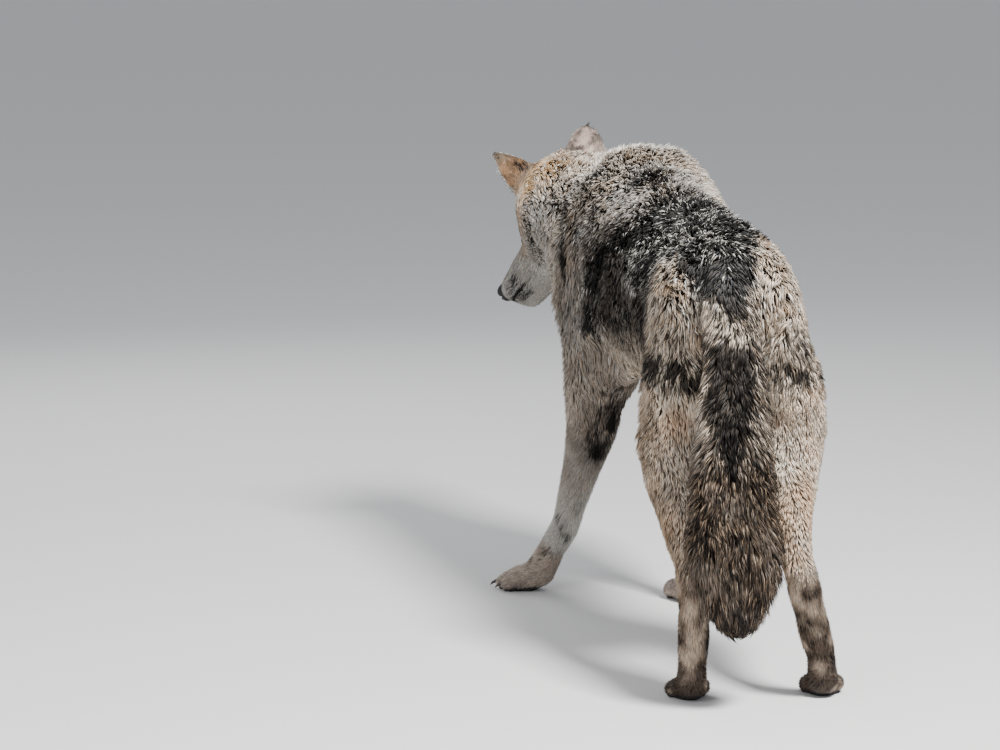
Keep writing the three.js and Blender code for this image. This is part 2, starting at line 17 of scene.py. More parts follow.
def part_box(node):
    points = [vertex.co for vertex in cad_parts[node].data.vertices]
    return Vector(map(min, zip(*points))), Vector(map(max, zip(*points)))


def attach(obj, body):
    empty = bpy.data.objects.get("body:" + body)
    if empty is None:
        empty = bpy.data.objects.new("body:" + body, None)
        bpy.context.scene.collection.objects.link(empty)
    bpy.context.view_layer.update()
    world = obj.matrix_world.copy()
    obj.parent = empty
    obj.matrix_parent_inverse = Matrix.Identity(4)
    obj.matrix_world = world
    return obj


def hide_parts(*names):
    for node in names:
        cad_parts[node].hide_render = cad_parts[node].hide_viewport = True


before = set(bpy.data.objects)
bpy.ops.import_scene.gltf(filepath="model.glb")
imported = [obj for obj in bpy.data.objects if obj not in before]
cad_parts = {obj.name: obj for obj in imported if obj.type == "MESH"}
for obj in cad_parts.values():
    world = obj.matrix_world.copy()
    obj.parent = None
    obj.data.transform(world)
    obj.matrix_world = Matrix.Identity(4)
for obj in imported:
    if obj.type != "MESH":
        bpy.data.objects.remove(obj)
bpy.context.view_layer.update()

# ---------------------------------------------------------------- names of the frame's nodes
SIDES = ("left", "right")
LIMBS = {"fore": ("upper_arm", "forearm", "pastern", "paw"), "hind": ("thigh", "shank", "hock", "paw")}
COAT_ENDS = ("upper_arm", "forearm", "pastern", "thigh", "shank", "hock", "paw", "ear")
CLAWS = range(1, 5)
FLESH = ["trunk", "tail", "neck", "head", "left_ear", "right_ear"] + [
    f"{side}_{limb}_{part}" for side in SIDES for limb in LIMBS for part in LIMBS[limb]
]


def group_of(node):
    """The kind of coat that a node carries."""
    return next((kind for kind in COAT_ENDS if node.endswith(kind)), node)


KINDS = np.array([group_of(node) for node in FLESH])

# ---------------------------------------------------------------- sizes of the outer form
VOXEL = 0.0035  # grid of the joined skin
WELD = 1e-5
JOIN_GROWTH = 0.0006  # closes the thin gaps between neighbouring nodes
EAR_THICKENING = 0.0024
EAR_ROOT = 0.010  # how far an ear is carried down into the head
EAR_ROOT_FADE = (0.30, 0.0)  # shares of the ear's length
TAIL_SHRINK = 0.007  # keeps the tail apart from the hocks, and its tufts make up for it
TAIL_SHRINK_FADE = (0.80, 0.60)  # shares of the tail's height

random = np.random.default_rng(7)


# ---------------------------------------------------------------- small helpers
def unit(v):
    """Vectors of length one."""
    return v / np.maximum(np.linalg.norm(v, axis=-1, keepdims=True), 1e-12)


def dot(a, b):
    return (a * b).sum(-1)


def distance(points, place):
    return np.linalg.norm(points - place, axis=1)


def smooth_step(low, high, x):
    """0 below low, 1 above high, and an S-curve between."""
    t = np.clip((x - low) / (high - low), 0, 1)
    return t * t * (3 - 2 * t)


def mix(a, b, t):
    """a where t is 0 and b where t is 1."""
    a, b, t = np.asarray(a), np.asarray(b), np.asarray(t)
    if t.ndim == 1 and 3 in (a.shape[-1:] + b.shape[-1:]):
        t = t[:, None]
    return a * (1 - t) + b * t


def fraction(x):
    """Values held between 0 and 1."""
    return np.clip(x, 0, 1)


HASH_PRIMES = (73856093, 19349663, 83492791)


def lattice(cells, seed):
    """A repeatable random number from 0 to 1 for each whole-numbered cell."""
    c = cells.astype(np.int64) * HASH_PRIMES
    h = c[:, 0] ^ c[:, 1] ^ c[:, 2] ^ (seed * 2654435761 & 0xFFFFFFF)
    h = (h ^ (h >> 13)) * 1274126177
    h = h ^ (h >> 16)
    return (h & 0xFFFFFF) / float(0xFFFFFF)


def noise(p, size, seed=0):
    """Smooth noise from -1 to 1 whose lumps are about size across."""
    q = p / size + 1000.0
    cell = np.floor(q)
    f = q - cell
    f = f * f * (3 - 2 * f)
    total = np.zeros(len(p))
    for i in range(8):
        corner = np.array([i & 1, i >> 1 & 1, i >> 2 & 1])
        weight = np.prod(np.where(corner, f, 1 - f), axis=1)
        total += weight * lattice(cell + corner, seed)
    return total * 2 - 1


def noise_vector(p, size, seed=0):
    return np.stack([noise(p, size, seed + 17 * k) for k in range(3)], 1)


def box(node):
    return [np.array(corner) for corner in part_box(node)]


def centre(node):
    low, high = box(node)
    return (low + high) / 2


def corners_of(node):
    """Where the vertices of a frame's node are."""
    return np.array([v.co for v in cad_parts[node].data.vertices])


def read(items, key, width=3, kind=np.float32):
    """Numbers read from a mesh's items, width of them from each."""
    values = np.zeros(len(items) * width, kind)
    items.foreach_get(key, values)
    return values.reshape(-1, width).astype(np.int64 if kind == np.int32 else float)


def search_tree(points):
    tree = kdtree.KDTree(len(points))
    for k, p in enumerate(points):
        tree.insert(p, k)
    tree.balance()
    return tree


def nearest_in(tree, places):
    """For each place, the number of the point in the tree that is nearest to it."""
    return np.array([tree.find(p)[1] for p in places])


def held(name, data):
    """A new object in the scene that holds the data."""
    made = bpy.data.objects.new(name, data)
    bpy.context.scene.collection.objects.link(made)
    return made


def select(holders):
    """Makes these objects the selected ones, and the first of them active."""
    bpy.ops.object.select_all(action="DESELECT")
    for holder in holders:
        holder.select_set(True)
    bpy.context.view_layer.objects.active = holders[0]


def modified(holder):
    """The mesh that an object's modifiers make. The object goes."""
    shaped = holder.evaluated_get(bpy.context.evaluated_depsgraph_get())
    mesh = bpy.data.meshes.new_from_object(shaped)
    bpy.data.objects.remove(holder)
    return mesh


# ---------------------------------------------------------------- the outer form
class Surface:
    """A closed mesh of quads with the neighbour lists that smoothing needs."""

    def __init__(self, mesh):
        self.points = read(mesh.vertices, "co")
        self.quads = read(mesh.loops, "vertex_index", 1, np.int32).reshape(-1, 4)
        n = len(self.points)
        a = self.quads.ravel()
        b = np.roll(self.quads, -1, axis=1).ravel()
        pairs = np.unique(np.concatenate([a * n + b, b * n + a]))
        self.near = pairs % n
        self.count = np.bincount(pairs // n, minlength=n).astype(float)
        self.first = np.concatenate([[0], np.cumsum(self.count[:-1])]).astype(np.int64)

    def mean(self, values):
        """The mean of each vertex's neighbours."""
        total = np.add.reduceat(values[self.near], self.first, axis=0)
        return total / (self.count if values.ndim == 1 else self.count[:, None])

    def relax(self, values, rounds, amount=0.5):
        """Values smoothed over the surface."""
        amount = np.asarray(amount)
        if amount.ndim and values.ndim > 1:
            amount = amount[:, None]
        for _ in range(rounds):
            values = values + (self.mean(values) - values) * amount
        return values

    def relax_some(self, values, chosen, rounds, amount=0.5):
        """Relaxes the chosen vertices only, the others staying put."""
        chosen = np.flatnonzero(chosen)
        if not len(chosen):
            return values
        count = self.count[chosen].astype(np.int64)
        first = np.concatenate([[0], np.cumsum(count)[:-1]])
        near = self.near[np.repeat(self.first[chosen] - first, count) + np.arange(count.sum())]
        values = values.copy()
        for _ in range(rounds):
            mean = np.add.reduceat(values[near], first, axis=0) / count[:, None]
            values[chosen] += (mean - values[chosen]) * amount
        return values

    def normals(self, points):
        q = points[self.quads]
        face = np.cross(q[:, 2] - q[:, 0], q[:, 3] - q[:, 1])
        total = np.zeros_like(points)
        for axis in range(3):
            for corner in range(4):
                total[:, axis] += np.bincount(self.quads[:, corner], face[:, axis], minlength=len(points))
        return unit(total)


def welded_copy(node):
    """The node's mesh with its split vertices joined, grown a little so that it meets its neighbours."""
    bm = bmesh.new()
    bm.from_mesh(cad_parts[node].data)
    bmesh.ops.remove_doubles(bm, verts=bm.verts, dist=WELD)
    bm.normal_update()
    if node.endswith("_ear"):
        root, way, length = ear_axis(node.split("_")[0])
        for v in bm.verts:
            along = np.array(v.co - Vector(root)) @ way / length
            v.co -= Vector(way) * EAR_ROOT * float(smooth_step(*EAR_ROOT_FADE, along))
        return bm
    low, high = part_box(node)
    for v in bm.verts:
        growth = JOIN_GROWTH
        if node == "tail":
            up = np.array((v.co.z - low.z) / (high.z - low.z))
            growth -= (TAIL_SHRINK + JOIN_GROWTH) * float(smooth_step(*TAIL_SHRINK_FADE, up))
        v.co += v.normal * growth
    return bm


def copies_apart(node, bm):
    """Where copies of the node go: an ear takes three, side by side, so that its rim isn't too thin."""
    if not node.endswith("_ear"):
        return [Vector()]
    points = np.array([v.co for v in bm.verts])
    facing = Vector(np.linalg.svd(points - points.mean(0), full_matrices=False)[2][2])
    return [facing * EAR_THICKENING * k for k in (-1, 0, 1)]


def joined_flesh():
    """All flesh nodes and the eyes' sockets as one closed surface, and the node nearest to each vertex."""
    points, faces, owner = [], [], []
    sockets = [(FLESH.index("head"), f"{side}_eye") for side in SIDES]
    for index, node in [*enumerate(FLESH), *sockets]:
        bm = welded_copy(node)
        for offset in copies_apart(node, bm):
            base = len(points)
            points += [v.co + offset for v in bm.verts]
            faces += [[base + v.index for v in f.verts] for f in bm.faces]
            owner += [index] * len(bm.faces)
        bm.free()
    tree = BVHTree.FromPolygons(points, faces)
    mesh = bpy.data.meshes.new("flesh")
    mesh.from_pydata(points, [], faces)
    holder = held("flesh", mesh)
    remesh = holder.modifiers.new("join", "REMESH")
    remesh.mode = "VOXEL"
    remesh.voxel_size = VOXEL
    surface = Surface(modified(holder))
    nearest = [owner[tree.find_nearest(Vector(p))[2]] for p in surface.points]
    return surface, np.array(nearest)


def on(*kinds):
    """The vertices whose nearest node is of one of these kinds."""
    return np.isin(KINDS[label], kinds)


# ---------------------------------------------------------------- axes that the fields follow
left_eye, right_eye, nose_tip = centre("left_eye"), centre("right_eye"), centre("nose")
EYES = (left_eye + right_eye) / 2
AHEAD = unit(nose_tip - EYES)
LEFT = unit((left_eye - right_eye) - AHEAD * dot(left_eye - right_eye, AHEAD))
ABOVE = np.cross(AHEAD, LEFT)
MIDDLE = centre("trunk")[0]
CHEST = box("trunk")[0][1]  # how far ahead the trunk reaches

# which way the hair points: fixed, or from one part of a limb to another and leaning back
LIE = {"trunk": (0.0, 1.0, -0.50), "upper_arm": (0.0, 0.45, -1.0), "thigh": (0.0, 0.30, -1.0)}
LIE_ALONG = {"forearm": ("forearm", "pastern", 0.15), "pastern": ("forearm", "paw", 0.0),
             "shank": ("thigh", "hock", 0.0), "hock": ("shank", "paw", 0.0)}
NECK_AIM = (0.10, 0.60)  # behind the front of the chest, and its height
NECK_DROOP = 0.25
PAW_DROOP = 0.45


def in_head(p):
    """Places in the head's own frame: ahead of the eyes, to the left, above."""
    q = p - EYES
    return q @ AHEAD, q @ LEFT, q @ ABOVE


def ear_axis(side):
    """An ear's root, the direction from there to its tip, and the ear's length."""
    points = corners_of(f"{side}_ear")
    reach = distance(points, EYES)
    root = points[reach < np.quantile(reach, 0.15)].mean(0)
    tip = points[np.argmax(distance(points, root))]
    return root, unit(tip - root), float(np.linalg.norm(tip - root))


def head_lie(points):
    """Back over the head, and downward and outward on the cheeks."""
    ahead, aside, above = in_head(points)
    droop = smooth_step(-0.01, -0.07, above) * smooth_step(0.10, 0.0, ahead)
    return unit(-AHEAD - np.outer(droop, ABOVE) * 0.45 + np.outer(droop * np.sign(aside), LEFT) * 0.25)


def tail_lie(points):
    """Down the tail and outward on all sides."""
    spread = (points[:, :2] - centre("tail")[:2]) * 2.0
    return unit(np.column_stack([spread, np.full(len(points), -1.0)]) + [0, 0.10, 0])


def lie_of(node, points):
    """Which way the hair points on a node, before it is laid along the skin."""
    kind = group_of(node)
    limb = node.removesuffix("_" + kind)
    if kind == "head":
        return head_lie(points)
    if kind == "tail":
        return tail_lie(points)
    if kind in LIE:
        way = np.array(LIE[kind])
    elif kind in LIE_ALONG:
        start, end, back = LIE_ALONG[kind]
        way = unit(centre(f"{limb}_{end}") - centre(f"{limb}_{start}")) + [0, back, 0]
    elif kind == "neck":
        way = unit([MIDDLE, CHEST + NECK_AIM[0], NECK_AIM[1]] - EYES) - [0, 0, NECK_DROOP]
    elif kind == "ear":
        way = ear_axis(limb)[1]
    else:
        claws = np.mean([centre(f"{limb}_claw_{k}") for k in CLAWS], axis=0)
        way = unit((claws - centre(node)) * [1, 1, 0]) - [0, 0, PAW_DROOP]
    return np.tile(unit(way), (len(points), 1))


# ---------------------------------------------------------------- the coat's measures by region
# depth of the coat, length of a tuft, its width, tufts per square metre
COAT = {
    "trunk": (0.024, 0.034, 0.0038, 85000),
    "neck": (0.030, 0.048, 0.0042, 94000),
    "head": (0.010, 0.018, 0.0026, 205000),
    "tail": (0.018, 0.040, 0.0040, 127000),
    "ear": (0.0014, 0.012, 0.0020, 330000),
    "upper_arm": (0.016, 0.028, 0.0036, 90000),
    "forearm": (0.007, 0.016, 0.0028, 190000),
    "pastern": (0.005, 0.013, 0.0025, 240000),
    "thigh": (0.020, 0.031, 0.0038, 84000),
    "shank": (0.010, 0.021, 0.0031, 96000),
    "hock": (0.005, 0.014, 0.0026, 226000),
    "paw": (0.0035, 0.010, 0.0023, 260000),
}
RUFF = (0.018, 0.036, 0.0038, 100000)  # the back of the head and the cheeks
CHEEK_RUFF = 0.7  # how much of the ruff the cheeks carry
DEPTH, LENGTH, WIDTH, DENSITY = range(4)
FACETS_SMOOTHED = {"trunk": 60, "neck": 60, "tail": 28, "thigh": 50, "upper_arm": 50, "shank": 35,
                   "forearm": 30, "pastern": 18, "hock": 18, "head": 12, "paw": 6, "ear": 12}
FLOOR_GAP = 0.002  # below this the form is laid on the floor
THICK = 0.30  # how far the thickness of flesh is looked for
SKIN_SHARE = 0.34  # the coat's greatest depth, as a share of that thickness
FACE_DEPTH = 0.0022
SOLE_DEPTH = 0.0002
EAR_SLOPE = 0.22  # how fast the coat deepens away from an ear
DEPTH_STEP = 0.0006  # how much the coat may deepen from one vertex to the next
CORNER_RADIUS = 0.022
FOLD_RADIUS = 0.012
ROUNDED = ("trunk", "neck", "upper_arm", "thigh", "shank")


def region_fields():
    """Smooth fields of the coat's measures and lie over the outer form."""
    measures = np.array([COAT[kind] for kind in KINDS])[label]
    lie = np.zeros_like(surface.points)
    for index, node in enumerate(FLESH):
        mine = label == index
        lie[mine] = lie_of(node, surface.points[mine])
    ahead, _, above = in_head(surface.points)
    cheeks = CHEEK_RUFF * smooth_step(0.020, -0.040, ahead) * smooth_step(-0.005, -0.035, above)
    ruff = np.maximum(smooth_step(-0.02, -0.10, ahead), cheeks) * on("head")
    measures = mix(measures, np.array(RUFF)[None], ruff[:, None])
    measures = np.exp(surface.relax(np.log(measures), 60))
    return measures, unit(surface.relax(lie, 60))


def smoothed_form():
    """The outer form without its facets, smoothed less where it is small."""
    rounds = surface.relax(np.array([FACETS_SMOOTHED[kind] for kind in KINDS], float)[label], 20)
    points = surface.points
    for k in range(int(rounds.max())):
        points = surface.relax(points, 1, 0.5 * fraction(rounds - k))
    points[surface.points[:, 2] < FLOOR_GAP, 2] = 0.0
    return points


def bend(points, rounds=14):
    """Mean curvature at each vertex, above zero where the form bulges outward."""
    drift = dot(points - surface.relax(points, rounds), surface.normals(points))
    return drift * 4 / (rounds * VOXEL**2)


def rounded_corners(points):
    """Rounds off the sharp corners that the limbs' edges leave on the body."""
    where = (np.abs(bend(points)) > 0.5 / CORNER_RADIUS) & on(*ROUNDED)
    return surface.relax_some(points, surface.relax(where.astype(float), 10) > 0.05, 80)


def drawn_in(points, depth, steps=8):
    """The skin: the outer form moved inward by the coat's depth in small smoothed steps.

    Where a narrow fold turns inside out on the way, a smooth web takes its place.
    """
    start = surface.normals(points)
    for _ in range(steps):
        points = points - surface.normals(points) * depth[:, None] / steps
        points = surface.relax(points, 2, 0.4 * smooth_step(0.001, 0.010, depth))
    for _ in range(3):
        turned = (dot(surface.normals(points), start) < 0.6) & (depth > 0.004)
        turned |= (np.abs(bend(points, 6)) > 1 / FOLD_RADIUS) & (depth > 0.008)
        folded = surface.relax(turned.astype(float), 8) > 0.03
        points = surface.relax_some(points, folded, 150)
    points[:, 2] = np.maximum(points[:, 2], 0.0)
    return points


def thickness(points, normals):
    """How much flesh lies straight below each vertex of the thinner parts."""
    tree = BVHTree.FromPolygons(points.tolist(), surface.quads.tolist())
    through = np.full(len(points), THICK)
    starts = points - normals * 0.0005
    for k in np.flatnonzero(~on(*ROUNDED)):
        hit = tree.ray_cast(starts[k], -normals[k], THICK)[3]
        if hit is not None:
            through[k] = hit
    return through


def ear_distance(points):
    """How far each place on the head is from the nearer ear."""
    tree = search_tree(np.concatenate([corners_of(f"{side}_ear") for side in SIDES]))
    gap = np.ones(len(points))
    for k in np.flatnonzero(distance(points, EYES) < 0.30):
        gap[k] = tree.find(points[k])[2]
    return gap


def coat_depth():
    """The depth of the coat over each vertex of the outer form."""
    ahead = in_head(outer)[0]
    face = smooth_step(-0.06, 0.03, ahead) * smooth_step(0.20, 0.12, distance(outer, EYES))
    depth = mix(measures[:, DEPTH], FACE_DEPTH, face)
    depth = np.minimum(depth, 0.001 + EAR_SLOPE * ear_distance(outer))
    normal = surface.normals(outer)
    depth = np.minimum(depth, SKIN_SHARE * thickness(outer, normal))
    depth[(normal[:, 2] < -0.7) & (outer[:, 2] < 0.012)] = SOLE_DEPTH
    for _ in range(12):
        depth = np.minimum(depth, surface.mean(depth) + DEPTH_STEP)
    return surface.relax(depth, 8)


def part_weights():
    """How much each vertex belongs to each kind of part, blended at the joints."""
    kinds = sorted(set(KINDS))
    one_hot = (KINDS[label][:, None] == kinds).astype(float)
    return dict(zip(kinds, surface.relax(one_hot, 40).T))


surface, label = joined_flesh()
measures, lie = region_fields()
outer = rounded_corners(smoothed_form())
skin = drawn_in(outer, coat_depth())
skin_normal = surface.normals(skin)
skin_tree = search_tree(skin)
weights = part_weights()
lie = unit(lie - skin_normal * dot(lie, skin_normal)[:, None])


# ---------------------------------------------------------------- colours, linear
BLACK = np.array([0.005, 0.005, 0.006])
CHARCOAL = np.array([0.014, 0.013, 0.014])
UMBER = np.array([0.090, 0.066, 0.050])
GREY_BROWN = np.array([0.150, 0.120, 0.098])
TAN = np.array([0.340, 0.245, 0.165])
ORANGE = np.array([0.400, 0.225, 0.115])
GOLD = np.array([0.400, 0.250, 0.120])
PEACH = np.array([0.600, 0.430, 0.300])
CREAM = np.array([0.640, 0.540, 0.435])
SILVER = np.array([0.450, 0.415, 0.375])
WHITE = np.array([0.740, 0.700, 0.640])
PINK_GREY = np.array([0.330, 0.265, 0.235])
NOSE_COLOUR = np.array([0.011, 0.010, 0.011])
IRIS_INNER = np.array([0.420, 0.230, 0.060])
IRIS_OUTER = np.array([0.230, 0.105, 0.025])
EYE_WHITE = np.array([0.070, 0.045, 0.035])

# ---------------------------------------------------------------- places of the markings
# where each one starts to fade in and where it is full: a height, a place along the body or head, or
# a share of the surface's turn
BANDS = {
    "facing_up": (0.10, 0.80), "facing_down": (-0.25, -0.80), "facing_back": (0.0, 0.5),
    "forequarters": (0.02, -0.16), "cape": (0.16, 0.08), "rump": (0.36, 0.43),
    "saddle_side": (0.012, -0.012), "saddle_start": (0.12, 0.20), "saddle_level": (0.60, 0.66),
    "saddle_edge": (-0.026, -0.008), "saddle_end": (0.36, 0.48),
    "far_neck": (0.00, -0.08), "nape": (-0.33, -0.43),
    "cheek_level": (0.000, -0.040), "white_cheek": (-0.03, -0.08), "crown": (0.00, 0.04),
    "muzzle": (0.015, 0.055), "bridge_side": (0.026, 0.010), "bridge_level": (-0.035, -0.012),
    "lip_edge": (0.009, 0.002), "lip_start": (0.00, 0.03), "dark_lip": (0.06, 0.10),
    "behind_eyes": (0.03, -0.03), "behind_ears": (-0.080, -0.110),
    "on_leg": (0.2, 0.8), "elbow": (0.52, 0.42), "low_arm": (0.34, 0.24), "white_arm": (0.22, 0.13),
    "low_thigh": (0.50, 0.45), "outer_thigh": (0.05, 0.11), "thigh_front": (0.2, 0.05),
    "fore_paw": (0.30, 0.10), "shin": (0.26, 0.18), "hind_leg": (0.10, 0.30), "dark_shin": (0.24, 0.08),
    "tail": (0.66, 0.60), "pale_tail": (0.36, 0.48), "tail_tip": (0.24, 0.12), "tail_root": (0.48, 0.56),
    "tail_stripe": (0.010, -0.010), "tail_curls": (0.56, 0.60),
    "ear_back": (-0.1, 0.3), "ear_orange": (0.05, 0.35), "ear_tan": (0.55, 0.85), "ear_rim": (0.70, 1.0),
    "ear_brown": (0.10, 0.40), "ear_brown_end": (0.70, 0.45),
}
THIGH_PLACE = 0.28
SADDLE_MIDDLE = -0.016
SADDLE_WIDTHS = ([0.20, 0.35, 0.50, 0.58, 0.630], [0.120, 0.088, 0.060, 0.040, -0.006])
TAIL_MIDDLE = 0.003
TAIL_BLACK = ([0.340, 0.38, 0.44, 0.50, 0.56, 0.60], [-0.010, 0.010, 0.030, 0.046, 0.056, 0.030])
MOUTH_LINE = ([0.0, 0.070, 0.130], [-0.056, -0.045, -0.034])
BROW = [(0.004, 0.022, 0.024), (-0.014, 0.036, 0.030)]
EAR_BASE = [(-0.104, 0.072, 0.040), (-0.150, 0.096, 0.016), (-0.190, 0.116, -0.016)]
# dark patches on both sides of the head: places, radius, share of it without a fade, strength, speckle
HEAD_MARKS = [
    ([(0.080, 0.028, -0.022), (0.112, 0.024, -0.026)], 0.026, 0.2, 0.62, 0.3),
    ([(0.080, 0.018, -0.056), (0.112, 0.018, -0.048)], 0.022, 0.2, 0.72, -0.3),
    # the band from behind the eye toward the ear: partly dark hair, partly painted shade along the face's
    # edge
    ([(-0.066, 0.092, 0.026), (-0.036, 0.082, 0.012), (-0.012, 0.060, 0.002)], 0.024, 0.4, 0.56, -0.5),
]


def both_sides(places):
    """The same places on the other side of the body's middle plane."""
    return [(2 * MIDDLE - x, y, z) for x, y, z in places]


FLANK_ARC = [(0.095, -0.120, 0.500), (0.105, -0.060, 0.580), (0.100, 0.000, 0.640), (0.085, 0.075, 0.695)]
# behind the elbows, where they meet the chest: partly dark fur, partly painted shade of the chest
NEAR_ARM = [(0.020, -0.180, 0.400), (0.035, -0.205, 0.340), (0.035, -0.235, 0.290)]
FAR_ARM = [(-0.095, -0.185, 0.400), (-0.105, -0.210, 0.310)]
HOCK_FRONT = [(0.030, 0.605, 0.150), (0.030, 0.620, 0.060)]
# dark markings: places in a row, radius, strength, raggedness
MARKS = [
    (FLANK_ARC, 0.055, 0.84, 0.25),
    (both_sides(FLANK_ARC), 0.055, 0.84, 0.25),
    ([(0.085, 0.075, 0.695), (0.050, 0.185, 0.730), (0.015, 0.295, 0.750), (-0.025, 0.370, 0.760)],
     0.060, 0.92, 0.20),
    ([(-0.025, 0.370, 0.760), (-0.090, 0.400, 0.750), (-0.125, 0.300, 0.730), (-0.155, 0.075, 0.695)],
     0.060, 0.92, 0.20),
    ([(0.110, -0.280, 0.725), (0.120, -0.230, 0.670), (0.120, -0.215, 0.600)], 0.028, 0.80, 0.3),
    ([(0.105, -0.155, 0.650), (0.110, -0.130, 0.600)], 0.030, 0.55, 0.5),
    ([(0.000, -0.030, 0.795), (0.010, 0.030, 0.790)], 0.065, 1.00, 0.40),
    ([(0.020, 0.105, 0.775), (0.010, 0.140, 0.770)], 0.045, 0.85, 0.3),
    ([(0.035, -0.470, 0.800), (0.020, -0.440, 0.805)], 0.035, 0.70, 0.3),
    ([(0.040, 0.490, 0.695), (0.005, 0.580, 0.660), (-0.020, 0.600, 0.645)], 0.027, 1.00, 0.0),
    ([(-0.060, 0.530, 0.710), (-0.035, 0.570, 0.680), (-0.020, 0.600, 0.645)], 0.027, 1.00, 0.0),
    ([(-0.010, 0.590, 0.655), (-0.020, 0.605, 0.635)], 0.036, 1.00, 0.0),
    # dark patches behind the elbows: partly dark fur, partly painted shade of the chest
    (NEAR_ARM, 0.070, 0.66, 0.35),
    (FAR_ARM, 0.068, 0.66, 0.35),
    ([(0.115, -0.310, 0.145), (0.115, -0.315, 0.140)], 0.010, 0.55, 0.3),
    ([(0.105, -0.310, 0.120), (0.090, -0.320, 0.100)], 0.012, 0.60, 0.3),
    ([(0.115, 0.400, 0.515), (0.070, 0.495, 0.515), (0.030, 0.530, 0.510)], 0.046, 0.98, 0.36),
    ([(-0.100, 0.540, 0.505), (-0.150, 0.510, 0.505), (-0.190, 0.450, 0.495)], 0.030, 0.80, 0.45),
    ([(0.110, 0.420, 0.570), (0.075, 0.490, 0.560), (0.050, 0.510, 0.565)], 0.024, 0.72, 0.4),
    ([(-0.140, 0.530, 0.555), (-0.180, 0.470, 0.550)], 0.020, 0.90, 0.4),
    ([(0.115, 0.380, 0.600), (0.120, 0.360, 0.480)], 0.040, 0.80, 0.3),
    ([(0.020, 0.690, 0.150), (-0.015, 0.690, 0.100)], 0.060, 0.60, 0.5),
    (HOCK_FRONT, 0.045, 0.60, 0.5),
]
# paler markings: places, radius, strength
PALE_MARKS = [
    ([(-0.080, -0.050, 0.790), (-0.130, -0.110, 0.780), (-0.140, 0.120, 0.720)], 0.080, 0.20),
    ([(0.080, -0.050, 0.740), (0.030, 0.080, 0.765)], 0.045, 0.12),
]
# colours of the pale hair: places, radius, colour, strength
TINTS = [
    ([(-0.125, 0.560, 0.300), (-0.110, 0.575, 0.240)], 0.070, PEACH * 1.1, 0.90),
    # umber behind the elbows: partly dark fur, partly painted shade of the chest
    ([(0.020, -0.180, 0.400), (0.035, -0.235, 0.285)], 0.075, UMBER, 0.80),
    (FAR_ARM, 0.075, UMBER, 0.80),
    # painted shade: the near hind leg's thigh and shank, tinted a darker tan where they stand in shade
    ([(0.085, 0.430, 0.400), (0.080, 0.500, 0.300), (0.065, 0.570, 0.180)], 0.080, TAN * 0.62, 0.85),
    (HOCK_FRONT, 0.060, UMBER * 1.3, 0.80),
    ([(0.105, -0.200, 0.640), (0.090, -0.240, 0.700)], 0.050, TAN, 0.55),
]


def band(name, values):
    return smooth_step(*BANDS[name], values)


def stroke(p, places, radius, fade=0.4):
    """1 along a line of places in space, fading out at radius from it."""
    places = np.array(places, float)
    gap = np.full(len(p), np.inf)
    for a, b in zip(places[:-1], places[1:]):
        t = fraction((p - a) @ (b - a) / max(dot(b - a, b - a), 1e-12))
        gap = np.minimum(gap, distance(p - a, t[:, None] * (b - a)))
    return smooth_step(radius, radius * fade, gap)


def mouth_level(ahead):
    """Height of the mouth's line in the head's frame."""
    return np.interp(ahead, *MOUTH_LINE)


def long_noise(size, seed):
    """Noise drawn out along the body."""
    return noise(outer * [1, 0.35, 1], size, seed)


def fields():
    """What the markings follow over the outer form."""
    x, y, z = outer.T
    turn = surface.normals(outer)
    up = band("facing_up", turn[:, 2])
    front = band("forequarters", y)
    ahead, aside, above = in_head(outer)
    patchy = 0.6 * noise(outer, 0.026, 5) + 0.4 * noise(outer, 0.013, 6)
    return SimpleNamespace(
        x=x, y=y, z=z, normal=turn, up=up, under=band("facing_down", turn[:, 2]), front=front,
        cape=np.maximum(band("cape", y) * up, 0.55 * front), rump=band("rump", y + 0.02 * patchy),
        ahead=ahead, aside=aside, half_head=np.column_stack([ahead, np.abs(aside), above]),
        broad=noise(outer, 0.055, 3), patchy=patchy,
    )


class Hair:
    """For each vertex: the colour of pale hair, the share of dark hair and the share of white hair, which is
    partly white guard hair and partly painted highlight.
    """

    def __init__(self):
        """Grizzled flanks all over."""
        self.pale = mix(GREY_BROWN * 0.9, SILVER * 0.50, fraction(0.4 + 0.8 * at.patchy))
        self.black = 0.52 - 0.26 * at.patchy
        self.white = np.zeros(len(outer))

    def lay(self, amount, pale=None, black=None):
        """Brings the pale hair's colour and the dark share over to others by an amount."""
        if pale is not None:
            self.pale = mix(self.pale, pale, amount)
        if black is not None:
            self.black = mix(self.black, black, amount)

    def darken(self, black):
        """Makes the dark share at least this large."""
        self.black = np.maximum(self.black, black)


def trunk_hair():
    """A silver cape and shoulders, a cream rump and a pale belly."""
    dark = 0.42 - 0.36 * at.patchy - 0.20 * noise(outer, 0.010, 12)
    hair.lay(at.cape, mix(SILVER * 0.98, CREAM * 0.92, fraction(0.3 + at.broad)), dark)
    hair.lay(0.5 * at.cape * fraction(2 * noise(outer, 0.045, 11)), TAN * 0.9)
    hair.black -= 0.12 * at.front
    warm = mix(CREAM * 1.05, TAN * 1.05, fraction(0.30 + 1.2 * at.patchy))
    hair.lay(at.rump, warm, 0.34 - 0.40 * at.patchy)
    hair.lay(at.under, CREAM * 0.9, 0.15)


def saddle_hair():
    """Black and white hair mixed, in a wedge that ends above the tail and is blacker along its edge."""
    aside = np.abs(at.x - SADDLE_MIDDLE) - np.interp(at.y, *SADDLE_WIDTHS) + 0.008 * at.patchy
    saddle = band("saddle_side", aside) * band("saddle_start", at.y) * (at.normal[:, 2] > 0)
    saddle = saddle * band("saddle_level", at.z)
    edge = band("saddle_edge", aside) * band("saddle_end", at.y)
    hair.lay(saddle, WHITE, 0.84 + 0.16 * edge - 0.25 * at.patchy * (1 - edge))
    # white hair on the cape, saddle, rump and neck: partly white-tipped guard hair, partly painted highlight
    frost_and_glint = 0.16 * at.cape + 0.24 * saddle * (1 - edge) + 0.08 * at.rump
    hair.white = frost_and_glint * weights["trunk"] + 0.20 * weights["neck"]


